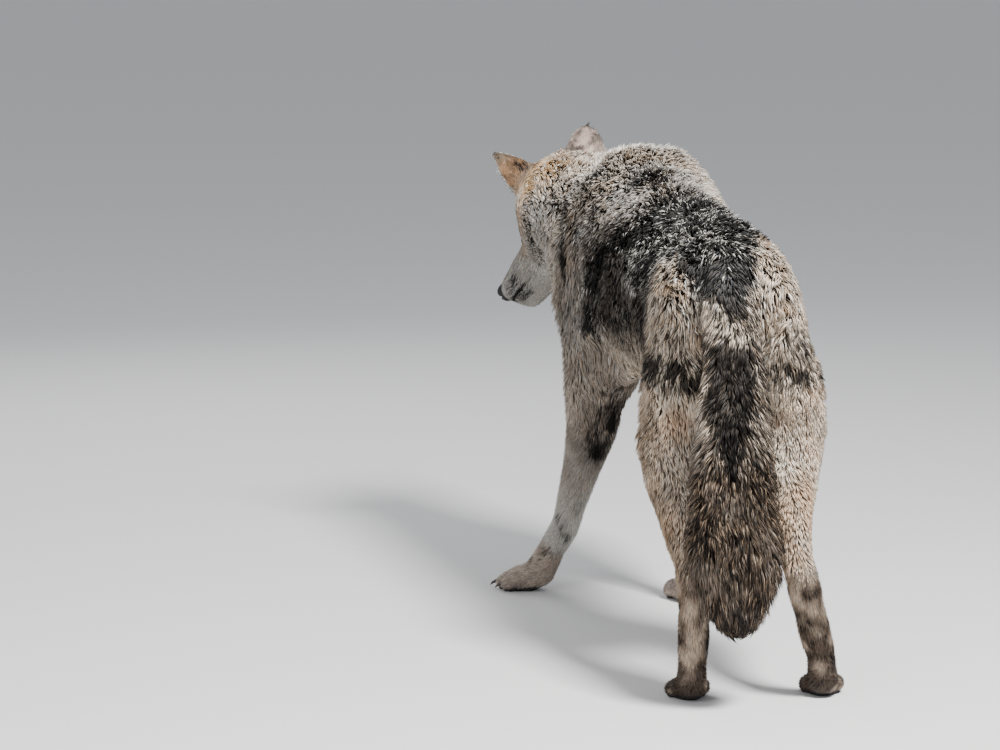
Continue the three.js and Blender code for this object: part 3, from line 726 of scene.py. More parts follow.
def neck_hair():
    """A silver and cream mane, tan at the nape."""
    mane = mix(SILVER * 1.25, CREAM * 1.05, fraction(0.35 + 0.9 * at.broad))
    dark = 0.26 - 0.24 * at.patchy - 0.22 * long_noise(0.012, 9) - 0.10 * at.under
    hair.lay(weights["neck"], mane, dark + 0.16 * (band("far_neck", at.x) * at.up))
    nape = mix(TAN * 1.20, CREAM * 0.9, fraction(0.5 + at.patchy))
    hair.lay(band("nape", at.y) * at.up * weights["neck"], nape)


def head_hair():
    """A tan crown, silver and white cheeks, a white muzzle with a tan bridge, and dark lips."""
    _, side, above = at.half_head.T
    cheek = mix(SILVER * 1.15, WHITE, band("white_cheek", above))
    face = mix(mix(TAN * 1.30, CREAM, 0.40), cheek, band("cheek_level", above))
    muzzle = band("muzzle", at.ahead)
    bridge = band("bridge_side", side) * band("bridge_level", above)
    face = mix(face, mix(mix(WHITE, SILVER, 0.55), TAN * 0.75, bridge), muzzle)
    dark = 0.17 - 0.14 * at.patchy + 0.12 * band("crown", above)
    dark = dark + 0.12 * bridge * muzzle - 0.06 * muzzle * (1 - bridge)
    dark = dark + 0.35 * (fraction(long_noise(0.007, 15)) * band("behind_eyes", at.ahead))
    hair.lay(weights["head"], face, dark)
    lips = band("lip_edge", np.abs(above - mouth_level(at.ahead))) * band("lip_start", at.ahead)
    hair.darken((0.30 + 0.62 * band("dark_lip", at.ahead)) * lips * weights["head"])
    for places, radius, fade, strength, speckle in HEAD_MARKS:
        spot = stroke(at.half_head, places, radius, fade)
        hair.darken((strength + speckle * at.patchy) * spot * weights["head"])
    brow = stroke(at.half_head, BROW, 0.013) * weights["head"]
    hair.lay(0.8 * brow, mix(CREAM, WHITE, 0.4))
    hair.black -= 0.2 * brow
    behind = stroke(at.half_head, EAR_BASE, 0.075, 0.3) * (weights["head"] + weights["neck"])
    behind = behind * band("behind_ears", at.ahead)
    hair.lay(behind, mix(GOLD, CREAM * 0.9, fraction(0.10 + at.patchy)))
    hair.lay(0.8 * behind, black=0.10 - 0.15 * at.patchy)


def foreleg_hair():
    """Tan and silver above, and white below."""
    low = band("low_arm", at.z)
    # the lower forearm's pale hair is darkened to two thirds: painted shade, with white hair below it
    arm = mix(mix(TAN, SILVER, 0.55), mix(WHITE, CREAM, 0.5) * 0.66, low)
    arm = mix(arm, WHITE, band("white_arm", at.z))
    leg = band("on_leg", weights["upper_arm"] + weights["forearm"] + weights["pastern"])
    hair.lay(leg * band("elbow", at.z), arm, 0.16 - 0.05 * low - 0.25 * at.patchy)


def hind_leg_hair():
    """Cream and peach thighs, darker outside."""
    leg = band("on_leg", weights["thigh"] + weights["shank"] + weights["hock"])
    outside = band("outer_thigh", np.abs(at.x - MIDDLE)) * band("thigh_front", at.y - THIGH_PLACE)
    thigh = mix(CREAM * 1.10, PEACH, fraction(0.3 + at.broad))
    thigh = mix(thigh, thigh * 0.75, outside)
    hair.lay(band("low_thigh", at.z) * leg, thigh, 0.12 + 0.12 * outside - 0.16 * at.patchy)


def foot_hair():
    """Speckled fore paws, and shins and hind paws mottled brown."""
    paw = weights["paw"] * band("fore_paw", at.y)
    dark = 0.14 - 0.35 * at.patchy - 0.3 * noise(outer, 0.007, 13)
    hair.lay(paw, mix(CREAM * 1.2, PINK_GREY * 1.3, fraction(0.6 + at.patchy)), dark)
    shin = band("shin", at.z) * band("hind_leg", at.y) * (1 - weights["tail"])
    mottled = fraction(1.10 * band("dark_shin", at.z) + 2.4 * at.patchy - 0.05)
    brown = mix(mix(CREAM, PEACH, 0.4) * 0.95, UMBER * 1.5, mottled)
    hair.lay(shin, brown, 0.06 + 0.38 * mottled - 0.2 * at.patchy)


def tail_hair():
    """A brown brush with a black stripe down its back, under pale curls."""
    tail = weights["tail"] * band("tail", at.z)
    brush = mix(TAN * 0.75, GREY_BROWN * 1.2, fraction(0.5 + at.patchy))
    brush = mix(brush, CREAM, band("pale_tail", at.z) * fraction(0.6 + at.broad))
    darker = 0.10 * band("tail_tip", at.z) + 0.2 * band("tail_root", at.z)
    hair.lay(tail, brush, 0.52 - 0.40 * at.patchy + darker)
    off = np.abs(at.x - TAIL_MIDDLE) - np.interp(at.z, *TAIL_BLACK) + 0.006 * at.patchy
    hair.darken(band("tail_stripe", off) * band("facing_back", at.normal[:, 1]) * tail)
    hair.lay(tail * band("tail_curls", at.z), CREAM, 0.48 - 0.60 * at.patchy)


def ear_hair(name, facing):
    """White inside, gold to tan behind on the near ear and pinkish on the far one, with a dark rim."""
    root, way, length = ear_axis(name)
    along = (outer - root) @ way / length
    near = weights["ear"] * (np.sign(at.aside) == facing)
    back = band("ear_back", at.normal @ -AHEAD)
    hide = mix(mix(GOLD, ORANGE, band("ear_orange", along)), TAN * 1.1, band("ear_tan", along))
    if name == "right":
        hide = mix(PINK_GREY, TAN, 0.3) * 1.9
    hide = hide * (0.74 + 0.5 * at.patchy + 0.5 * noise(outer, 0.006, 14))[:, None]
    brown = 0.30 * band("ear_brown", along) * band("ear_brown_end", along)
    dark = 0.12 + brown - 0.8 * noise(outer, 0.008, 8) * back + 0.40 * band("ear_rim", along)
    hair.lay(near, mix(WHITE * 0.8, hide, back), dark)


def marked_hair():
    """The marks, pale marks and tints of the tables above."""
    for places, radius, strength, ragged in MARKS:
        broken = 1 - ragged + ragged * fraction(0.5 + 1.6 * at.patchy) * 1.4
        hair.darken(fraction(strength * stroke(outer, places, radius) * broken))
    for places, radius, strength in PALE_MARKS:
        hair.black -= strength * stroke(outer, places, radius)
    for places, radius, colour, strength in TINTS:
        hair.lay(strength * stroke(outer, places, radius) * fraction(0.7 + at.patchy), colour)


def mottled_hair():
    """Light and dark patches in the pale hair, weaker on the head and feet."""
    mottle = noise(outer, 0.026, 51) * 0.6 + noise(outer, 0.013, 53) * 0.4
    calm = weights["head"] + weights["ear"] + weights["paw"] + weights["pastern"]
    mottle = mottle * (0.40 - 0.28 * calm)
    hair.pale = np.clip(np.clip(hair.pale, 0, 0.85) * (1 + mottle)[:, None], 0, 0.9)
    hair.black = fraction(hair.black)
    hair.white = fraction(hair.white)


at = fields()
hair = Hair()
trunk_hair()
saddle_hair()
neck_hair()
head_hair()
foreleg_hair()
hind_leg_hair()
foot_hair()
tail_hair()
ear_hair("left", 1)
ear_hair("right", -1)
marked_hair()
mottled_hair()


# ---------------------------------------------------------------- the tufts
BENT = (0.0, 0.55, 1.0)  # how far along a tuft its rings and its tip stand
STRAIGHT = (0.0, 1.0)
BENT_HAIR = ("trunk", "neck", "tail", "upper_arm", "thigh", "shank")
BENT_LENGTH = 0.024  # the head's hair is bent where it is longer
ROOT_SUNK = 0.002
TIP_GROUND = 0.0004  # the lowest a tuft may reach
TUFT_FULLNESS = 0.75
STRANDS = 5.0  # hairs told apart across a tuft
LOCK_COUNT = 7  # tufts in a lock
STRAY = 0.14
TWIST = 0.45
CLUMPING = {"trunk": 0.60, "neck": 0.65, "tail": 0.65, "thigh": 0.65, "upper_arm": 0.50, "shank": 0.45,
            "head": 0.35}
WILDNESS = {"trunk": 1.0, "neck": 1.0, "tail": 0.7, "thigh": 1.0, "upper_arm": 1.0, "shank": 0.6}
CLUMPING_ELSEWHERE, WILDNESS_ELSEWHERE = 0.15, 0.35
TAIL_FLARE = 0.014  # how much further the tail's tufts stand out
TAIL_TIP = 0.075  # the part of the tail over which the tufts shorten
EYE_CLEAR, EYE_CLEAR_AHEAD = 0.0125, 0.0030  # no tufts so near to an eye, and more ahead of it
NOSE_CLEAR = 0.017
TRUNK_SPLIT = 0.13  # between the front and rear pieces of the trunk's coat
BAKE_PATCH = 0.003


class Roots:
    """Where tufts stand: on which faces of the skin, and at which shares of their corners."""

    def __init__(self, face, shares):
        self.face, self.shares = face, shares
        self.place = self.at(skin)

    def at(self, values):
        """A vertex field read at the roots."""
        corners = values[surface.quads[self.face]]
        return (corners * (self.shares if values.ndim == 1 else self.shares[..., None])).sum(1)


def winding_place(points, bits=8):
    """Order along a path that winds through space, so that neighbours in it are neighbours in space."""
    low, high = points.min(0), points.max(0)
    cell = ((points - low) / (high - low).max() * (2**bits - 1)).astype(np.int64)
    code = np.zeros(len(points), np.int64)
    for bit in range(bits):
        for axis in range(3):
            code |= ((cell[:, axis] >> bit) & 1) << (3 * bit + axis)
    return code


def spread_roots(crowding):
    """Roots spread evenly over the skin's faces, along a winding path."""
    corners = skin[surface.quads]
    diagonals = np.cross(corners[:, 2] - corners[:, 0], corners[:, 3] - corners[:, 1])
    wanted = np.linalg.norm(diagonals, axis=1) / 2 * crowding[surface.quads].mean(1)
    order = np.argsort(winding_place(corners.mean(1)))
    running = np.concatenate([[0], np.cumsum(wanted[order])])
    counts = np.zeros(len(wanted), np.int64)
    counts[order] = np.diff(np.floor(running)).astype(np.int64)
    face = np.repeat(np.arange(len(wanted)), counts)
    s, t = random.random(len(face)), random.random(len(face))
    return Roots(face, np.stack([(1 - s) * (1 - t), s * (1 - t), s * t, (1 - s) * t], 1))


class Tufts:
    """Tapering three-sided tufts laid along the skin, each ending in a point at the outer form."""

    def __init__(self, roots, steps):
        self.roots, self.steps = roots, np.array(steps)
        self.rings = len(steps) - 1
        self.count, self.corners = len(roots.face), 3 * self.rings + 1
        n = self.count
        length = roots.at(reach) * random.uniform(0.70, 1.20, n)
        width = roots.at(measures[:, WIDTH]) * random.uniform(0.70, 1.25, n)
        under, near = self.laid(length, random.normal(0, STRAY, (n, 3)))
        height = random.uniform(0.55, 1.02, n) ** 0.8 * (1 + 0.10 * (random.random(n) > 0.93))
        rise = 1 - (1 - self.steps) ** 1.35
        line = []
        for k in range(self.rings + 1):
            up = lift[near[k]] * 0.5 + lift[near[0]] * 0.5
            line.append(under[k] + up * (rise[k] * height)[:, None])
        line[0] = roots.place - skin_normal[near[0]] * ROOT_SUNK
        line = self.gathered(line, length)
        self.build(line, [skin_normal[i] for i in near], width)
        self.tones(near)
        self.strand = random.random(n)

    def laid(self, length, stray):
        """Places under the rings, stepping along the lie of the coat over the skin, and the skin there."""
        wild = self.roots.at(wildness)[:, None]

        def way_at(near):
            return lie[near] + (lock_lean[near] + stray) * wild

        place = self.roots.place
        near = nearest_in(skin_tree, place)
        way = way_at(near)
        under, nearest = [place], [near]
        for gone in np.diff(self.steps):
            normal = skin_normal[near]
            way = unit(way - normal * dot(way, normal)[:, None])
            place = place + way * (length * gone)[:, None]
            near = nearest_in(skin_tree, place)
            normal = skin_normal[near]
            place = place - normal * dot(place - skin[near], normal)[:, None]
            under.append(place)
            nearest.append(near)
            way = unit(way_at(near) + way * 0.5)
        return under, nearest

    def gathered(self, line, length):
        """Draws neighbouring tufts together toward their tips, so that they form locks."""
        leaders = np.flatnonzero(random.random(self.count) < 1 / LOCK_COUNT)
        lead = leaders[nearest_in(search_tree(line[0][leaders]), line[0])]
        apart = np.linalg.norm(line[0] - line[0][lead], axis=1)
        pull = self.roots.at(clumping) * smooth_step(0.9, 0.3, apart / length)
        return [ring + (ring[lead] - ring) * (pull * step**1.5)[:, None]
                for ring, step in zip(line, self.steps)]

    def build(self, line, normal, width):
        """Three corners around each ring of the line, and the tip."""
        twist = random.normal(0, TWIST, self.count)
        girth = (1 - self.steps[:-1] ** 1.6) * np.where(self.steps[:-1] > 0, 1.0, 0.85)
        self.points = np.zeros((self.count, self.corners, 3))
        for k in range(self.rings):
            ahead = unit(line[k + 1] - line[max(k - 1, 0)])
            side = unit(np.cross(ahead, normal[k]))
            ridge = np.cross(side, ahead)
            side = side * np.cos(twist)[:, None] + ridge * np.sin(twist)[:, None]
            ridge = np.cross(side, ahead)
            half = (width * girth[k] / 2)[:, None]
            self.points[:, 3 * k] = line[k] - side * half
            self.points[:, 3 * k + 1] = line[k] + side * half
            self.points[:, 3 * k + 2] = line[k] + ridge * half * TUFT_FULLNESS
        self.points[:, -1] = line[-1]
        self.points[..., 2] = np.maximum(self.points[..., 2], TIP_GROUND)

    def faces(self):
        """The triangles of one tuft: its root's cap, the sides between rings, and the point."""
        faces = [(0, 1, 2)]
        for low in range(0, 3 * (self.rings - 1), 3):
            for a, b in ((0, 2), (2, 1), (1, 0)):
                faces += [(low + a, low + b, low + 3 + b), (low + a, low + 3 + b, low + 3 + a)]
        last, tip = 3 * (self.rings - 1), 3 * self.rings
        faces += [(last + a, last + b, tip) for a, b in ((0, 2), (2, 1), (1, 0))]
        return np.array(faces)

    def grid(self):
        """For each corner of a tuft, how far it is across the tuft and along it."""
        across = [0.0, 1.0, 0.5] * self.rings + [0.5]
        return np.column_stack([across, np.append(np.repeat(self.steps[:-1], 3), 1.0)])

    def tones(self, near):
        """Colours from root to tip: a dark root, partly underwool and partly painted shade inside the coat, a
        pale band, and a black tip on the dark tufts; pale tips are lightened a little, partly pale hair tips
        and partly painted highlight.
        """
        n, place = self.count, self.roots.place
        spot = noise(place, 0.014, 41) * 0.3 + noise(place, 0.007, 43) * 0.2 + 0.5
        draw = 0.45 * random.random(n) + 0.55 * spot
        banded = random.random(n) < 0.5
        light = random.uniform(0.76, 1.24, n)[:, None]
        hue = random.normal(0, 0.05, n)[:, None] * np.array([1.0, 0.0, -1.0])
        deep = mix(CHARCOAL, BLACK, random.random(n))
        frosted_and_glinting = random.random(n) < hair.white[near[0]]
        self.colour = np.zeros_like(self.points)
        for k in range(self.rings + 1):
            pale = np.clip(hair.pale[near[k]] * light * (1 + hue), 0, 0.9)
            pale[frosted_and_glinting] = WHITE * light[frosted_and_glinting]
            black = hair.black[near[k]]
            dark = fraction((black * 1.12 - draw) * 5 + 0.4) * np.where(frosted_and_glinting & (black < 0.9), 0.2, 1)
            if k == 0:
                # the root: partly dark underwool, partly painted shade inside the coat
                tone = mix(pale * 0.30, deep, 0.55 * black)
                if self.rings == 1:
                    tone = mix(tone, mix(pale, deep, dark), 0.55)
            elif k < self.rings:
                tone = mix(pale, deep, np.where(banded & (black < 0.75), 0.10, 0.92) * dark)
            else:
                # the tip: pale tips lightened a little, partly pale hair tips and partly painted highlight
                tone = mix(np.clip(pale * 1.08, 0, 0.92), deep, fraction(dark * 1.2))
            self.colour[:, 3 * k:3 * k + 3] = tone[:, None]


def coat_lift():
    """From the skin to where the tips of the tufts reach, in uneven waves and wide at the tail."""
    swell = 0.30 * noise(outer, 0.028, 51)
    for kind in ("head", "ear", "paw"):
        swell = swell * (1 - weights[kind])
    swell = np.clip(1 + swell, 0.7, 1.12)
    flare = TAIL_FLARE * smooth_step(0.75, 0.95, weights["tail"]) * smooth_step(0.62, 0.48, outer[:, 2])
    return (outer - skin) * swell[:, None] + skin_normal * flare[:, None]


def coat_crowding():
    """Tufts per square metre, with none on the eyes, the nose and the soles."""
    crowding = measures[:, DENSITY] * 1.0
    for eye in (left_eye, right_eye):
        clear = EYE_CLEAR + EYE_CLEAR_AHEAD * smooth_step(-0.004, 0.004, (outer - eye) @ AHEAD)
        crowding[distance(outer, eye) < clear] = 0
    crowding[distance(outer, nose_tip) < NOSE_CLEAR] = 0
    crowding[(skin_normal[:, 2] < -0.7) & (skin[:, 2] < 0.015)] = 0
    return crowding


def blended(by_kind, elsewhere):
    """A field that has a value on each kind of part."""
    return sum(by_kind.get(kind, elsewhere) * weight for kind, weight in weights.items())


clumping = blended(CLUMPING, CLUMPING_ELSEWHERE)
wildness = blended(WILDNESS, WILDNESS_ELSEWHERE) * mix(0.50, 1.0, smooth_step(0.10, 0.30, outer[:, 1]))
lock_lean = noise_vector(skin, 0.030, 21) * 0.5 + noise_vector(skin, 0.012, 29) * 0.5
shorter = np.clip((skin[:, 2] - box("tail")[0][2]) / TAIL_TIP, 0.25, 1)
reach = measures[:, LENGTH] * np.where(weights["tail"] > 0.5, shorter, 1)
lift = coat_lift()
roots = spread_roots(coat_crowding())
root_kind = KINDS[label[surface.quads[roots.face, 0]]]
is_bent = np.isin(root_kind, BENT_HAIR)
is_bent |= (root_kind == "head") & (roots.at(measures[:, LENGTH]) > BENT_LENGTH)
coats = [Tufts(Roots(roots.face[mine], roots.shares[mine]), steps)
         for mine, steps in ((is_bent, BENT), (~is_bent, STRAIGHT))]


# ---------------------------------------------------------------- making pieces
def mesh_of(name, points, faces):
    """A mesh from arrays of places and of faces that all have the same number of corners."""
    mesh = bpy.data.meshes.new(name)
    mesh.vertices.add(len(points))
    mesh.vertices.foreach_set("co", np.ascontiguousarray(points, np.float32).ravel())
    mesh.loops.add(faces.size)
    mesh.loops.foreach_set("vertex_index", faces.astype(np.int32).ravel())
    mesh.polygons.add(len(faces))
    mesh.polygons.foreach_set("loop_start", np.arange(0, faces.size, faces.shape[1], dtype=np.int32))
    mesh.polygons.foreach_set("loop_total", np.full(len(faces), faces.shape[1], np.int32))
    mesh.polygons.foreach_set("use_smooth", np.ones(len(faces), bool))
    mesh.update(calc_edges=True)
    return mesh


def add_colour(mesh, colour):
    """A colour for each vertex, or the same for all."""
    layer = mesh.attributes.new("tone", "FLOAT_COLOR", "POINT")
    rgba = np.ones((len(mesh.vertices), 4), np.float32)
    rgba[:, :3] = colour
    layer.data.foreach_set("color", rgba.ravel())


def coloured(name, points, faces, colour):
    mesh = mesh_of(name, points, faces)
    add_colour(mesh, colour)
    return mesh


def piece(name, mesh, material):
    """A shown piece that rides on the body, with the material it is given."""
    made = held(name, mesh)
    mesh.materials.append(material)
    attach(made, "root")
    return made


def ring_faces(rows, columns, closed=False):
    """Quads between rows of points, each row a ring, and the rows themselves a ring if closed."""
    k, j = np.meshgrid(np.arange(rows if closed else rows - 1), np.arange(columns), indexing="ij")
    after, beside = (k + 1) % rows * columns, (j + 1) % columns
    k = k * columns
    return np.stack([k + j, after + j, after + beside, k + beside], -1).reshape(-1, 4)


# ---------------------------------------------------------------- materials
OUTPUT_OF = {"TexNoise": "Fac", "TexVoronoi": "Distance"}
PEBBLE = 0.0013  # across a pebble of the nose's leather
HORN_SHADES = ((0.35, (0.018, 0.015, 0.013, 1)), (0.75, (0.110, 0.085, 0.066, 1)))


def material(name, roughness, specular=0.4):
    made = bpy.data.materials.new(name)
    made.use_nodes = True
    shader = made.node_tree.nodes["Principled BSDF"]
    shader.inputs["Roughness"].default_value = roughness
    shader.inputs["Specular IOR Level"].default_value = specular
    return made, shader


def node(shader, kind, inputs, output, **settings):
    """The output of a new node in a shader's tree. An input is a number or another node's output."""
    tree = shader.id_data
    made = tree.nodes.new("ShaderNode" + kind)
    for key, value in settings.items():
        setattr(made, key, value)
    for key, value in inputs.items():
        if isinstance(value, bpy.types.NodeSocket):
            tree.links.new(value, made.inputs[key])
        else:
            made.inputs[key].default_value = value
    return made.outputs[output]


def feed(shader, key, source):
    shader.id_data.links.new(source, shader.inputs[key])


def pattern(shader, kind, scale, **inputs):
    """Noise or cells over the piece's own places."""
    place = node(shader, "TexCoord", {}, "Object")
    return node(shader, kind, {"Scale": scale, "Vector": place, **inputs}, OUTPUT_OF[kind])


def varied_tone(shader, source, limits):
    """The vertices' tone as base colour, made darker and lighter by a pattern."""
    tone = node(shader, "VertexColor", {}, "Color", layer_name="tone")
    factor = node(shader, "MapRange", {"Value": source, **limits}, "Result")
    varied = node(shader, "VectorMath", {0: tone, "Scale": factor}, "Vector", operation="SCALE")
    feed(shader, "Base Color", varied)


def toned(shader, size, strength):
    """Tone varied by a fine noise, which it returns."""
    grain = pattern(shader, "TexNoise", 1 / size, Detail=3)
    varied_tone(shader, grain, {"To Min": 1 - strength, "To Max": 1 + strength})
    return grain


def bumped(shader, height, strength, depth, **settings):
    inputs = {"Strength": strength, "Distance": depth, "Height": height}
    feed(shader, "Normal", node(shader, "Bump", inputs, "Normal", **settings))


def coat_material():
    """Hair: the tufts' own tones, split into fine strands across each tuft."""
    made, shader = material("coat", 0.66, 0.03)
    strand = node(shader, "Attribute", {}, "Vector", attribute_name="strand")
    stretch = node(shader, "VectorMath", {0: strand, 1: (STRANDS, 1.4, 97.0)}, "Vector", operation="MULTIPLY")
    hairs = node(shader, "TexNoise", {"Scale": 1.0, "Detail": 1.0, "Vector": stretch}, "Fac")
    varied_tone(shader, hairs, {"From Min": 0.3, "From Max": 0.7, "To Min": 0.50, "To Max": 1.30})
    return made


def skin_material():
    made, shader = material("skin", 0.80, 0.25)
    bumped(shader, toned(shader, 0.0016, 0.35), 0.5, 0.0012)
    return made


def eye_material():
    made, shader = material("eye", 0.06, 0.6)
    toned(shader, 0.0009, 0.18)
    shader.inputs["Coat Weight"].default_value = 1.0
    shader.inputs["Coat Roughness"].default_value = 0.02
    return made


def nose_material():
    """Nose leather: small raised pebbles."""
    made, shader = material("nose", 0.46, 0.28)
    toned(shader, PEBBLE, 0.20)
    bumped(shader, pattern(shader, "TexVoronoi", 1 / PEBBLE), 0.6, 0.0004, invert=True)
    return made


def horn_material():
    """Claws: dark horn with faint streaks."""
    made, shader = material("horn", 0.40, 0.4)
    grain = pattern(shader, "TexNoise", 400, Detail=4)
    shades = node(shader, "ValToRGB", {"Fac": grain}, "Color")
    ramp = shades.node.color_ramp.elements
    for stop, (place, colour) in zip(ramp, HORN_SHADES):
        stop.position = place
        stop.color = colour
    feed(shader, "Base Color", shades)
    bumped(shader, grain, 0.3, 0.0004)
    return made


# ---------------------------------------------------------------- the coat's pieces
def coat_name(node, place):
    """The name of the piece that a tuft on one of the frame's nodes belongs to."""
    if node == "trunk":
        end = "front" if place[1] < TRUNK_SPLIT else "rear"
        return f"{end}_trunk_coat_{'left' if place[0] > MIDDLE else 'right'}"
    if node == "neck":
        return f"neck_coat_{'left' if place[0] > neck_middle(place[1]) else 'right'}"
    return "_".join(node.split("_")[:2]) + "_coat"


def neck_middle(y):
    """Where the neck's middle lies across the body."""
    x, start = HEAD_MIDDLE[:2]
    return x + (MIDDLE - x) * np.clip((y - start) / (CHEST - start), 0, 1)


def coat_pieces():
    """The names of the coat's pieces and their slots."""
    for side in SIDES:
        for end in ("front", "rear"):
            yield f"{end}_trunk_coat_{side}", "trunk_coat"
        yield f"neck_coat_{side}", "neck_coat"
        for limb in LIMBS:
            yield f"{side}_{limb}_coat", "leg_coat"
        yield f"{side}_ear_coat", "ear_coat"
    yield "head_coat", "head_coat"
    yield "tail_coat", "tail_coat"


def unwrapped(quads):
    """Each quad's corners on an unwrap of the skin's own shape."""
    used, local = np.unique(quads, return_inverse=True)
    mesh = mesh_of("patch", skin[used], local.reshape(-1, 4))
    holder = held("patch", mesh)
    select([holder])
    mesh.uv_layers.new(name="OFBake")
    bpy.ops.object.mode_set(mode="EDIT")
    bpy.ops.mesh.select_all(action="SELECT")
    bpy.ops.uv.smart_project(angle_limit=math.radians(66), island_margin=0.004)
    bpy.ops.object.mode_set(mode="OBJECT")
    uv = read(mesh.uv_layers["OFBake"].data, "uv", 2, np.float32).reshape(-1, 4, 2)
    bpy.data.objects.remove(holder)
    bpy.data.meshes.remove(mesh)
    return uv


def coat_piece(name, batches):
    """One joined mesh of the tufts of a piece, with each tuft's patch of the bake map."""
    used = np.unique(np.concatenate([tufts.roots.face[mine] for tufts, mine in batches]))
    corner_uv = unwrapped(surface.quads[used])
    points, faces, colours, maps, strands, base = [], [], [], [], [], 0
    for tufts, mine in batches:
        n, per, grid = int(mine.sum()), tufts.corners, tufts.grid()
        points.append(tufts.points[mine].reshape(-1, 3))
        colours.append(tufts.colour[mine].reshape(-1, 3))
        faces.append((tufts.faces()[None] + np.arange(n)[:, None, None] * per).reshape(-1, 3) + base)
        base += n * per
        where = np.searchsorted(used, tufts.roots.face[mine])
        spot = (corner_uv[where] * tufts.roots.shares[mine][..., None]).sum(1)
        maps.append((spot[:, None] + ((grid - 0.5) * BAKE_PATCH)[None]).reshape(-1, 2))
        strand = np.zeros((n, per, 3), np.float32)
        strand[..., :2] = grid
        strand[..., 2] = tufts.strand[mine][:, None]
        strands.append(strand.reshape(-1, 3))
    faces = np.concatenate(faces)
    mesh = coloured(name, np.concatenate(points), faces, np.concatenate(colours))
    strand = mesh.attributes.new("strand", "FLOAT_VECTOR", "POINT")
    strand.data.foreach_set("vector", np.concatenate(strands).ravel())
    layer = mesh.uv_layers.new(name="OFBake")
    layer.data.foreach_set("uv", np.concatenate(maps)[faces.ravel()].astype(np.float32).ravel())
    piece(name, mesh, coat_finish)


HEAD_MIDDLE = centre("head")
coat_finish = coat_material()
root_nodes = [np.array(FLESH)[label[surface.quads[tufts.roots.face, 0]]] for tufts in coats]
names = [np.array([coat_name(*root) for root in zip(nodes, tufts.roots.place)])
         for nodes, tufts in zip(root_nodes, coats)]
for name, slot in coat_pieces():
    batches = [(tufts, named == name) for tufts, named in zip(coats, names)]
    coat_piece(name, [(tufts, mine) for tufts, mine in batches if mine.any()])

# ---------------------------------------------------------------- eyes and lids
UPPER_LID, LOWER_LID = 0.50, 0.42  # half heights of the opening, in eye radii
LID_REACH = 0.96  # half its width
LID_THICKNESS = 0.0012
LID_CREASE = 0.0010
RIM_SIZE = 0.0010
PUPIL, IRIS, IRIS_EDGE = 0.26, 0.72, 0.10  # half angles seen from the eyeball's middle
EYE_OUTWARD = (0.50, -0.80, 0.42)  # the opening's outer corner: to its side, back and up
CORNEA = 0.035
BEHIND_LIDS = 0.80  # how far out the skin stands behind the eyeball, in eye radii


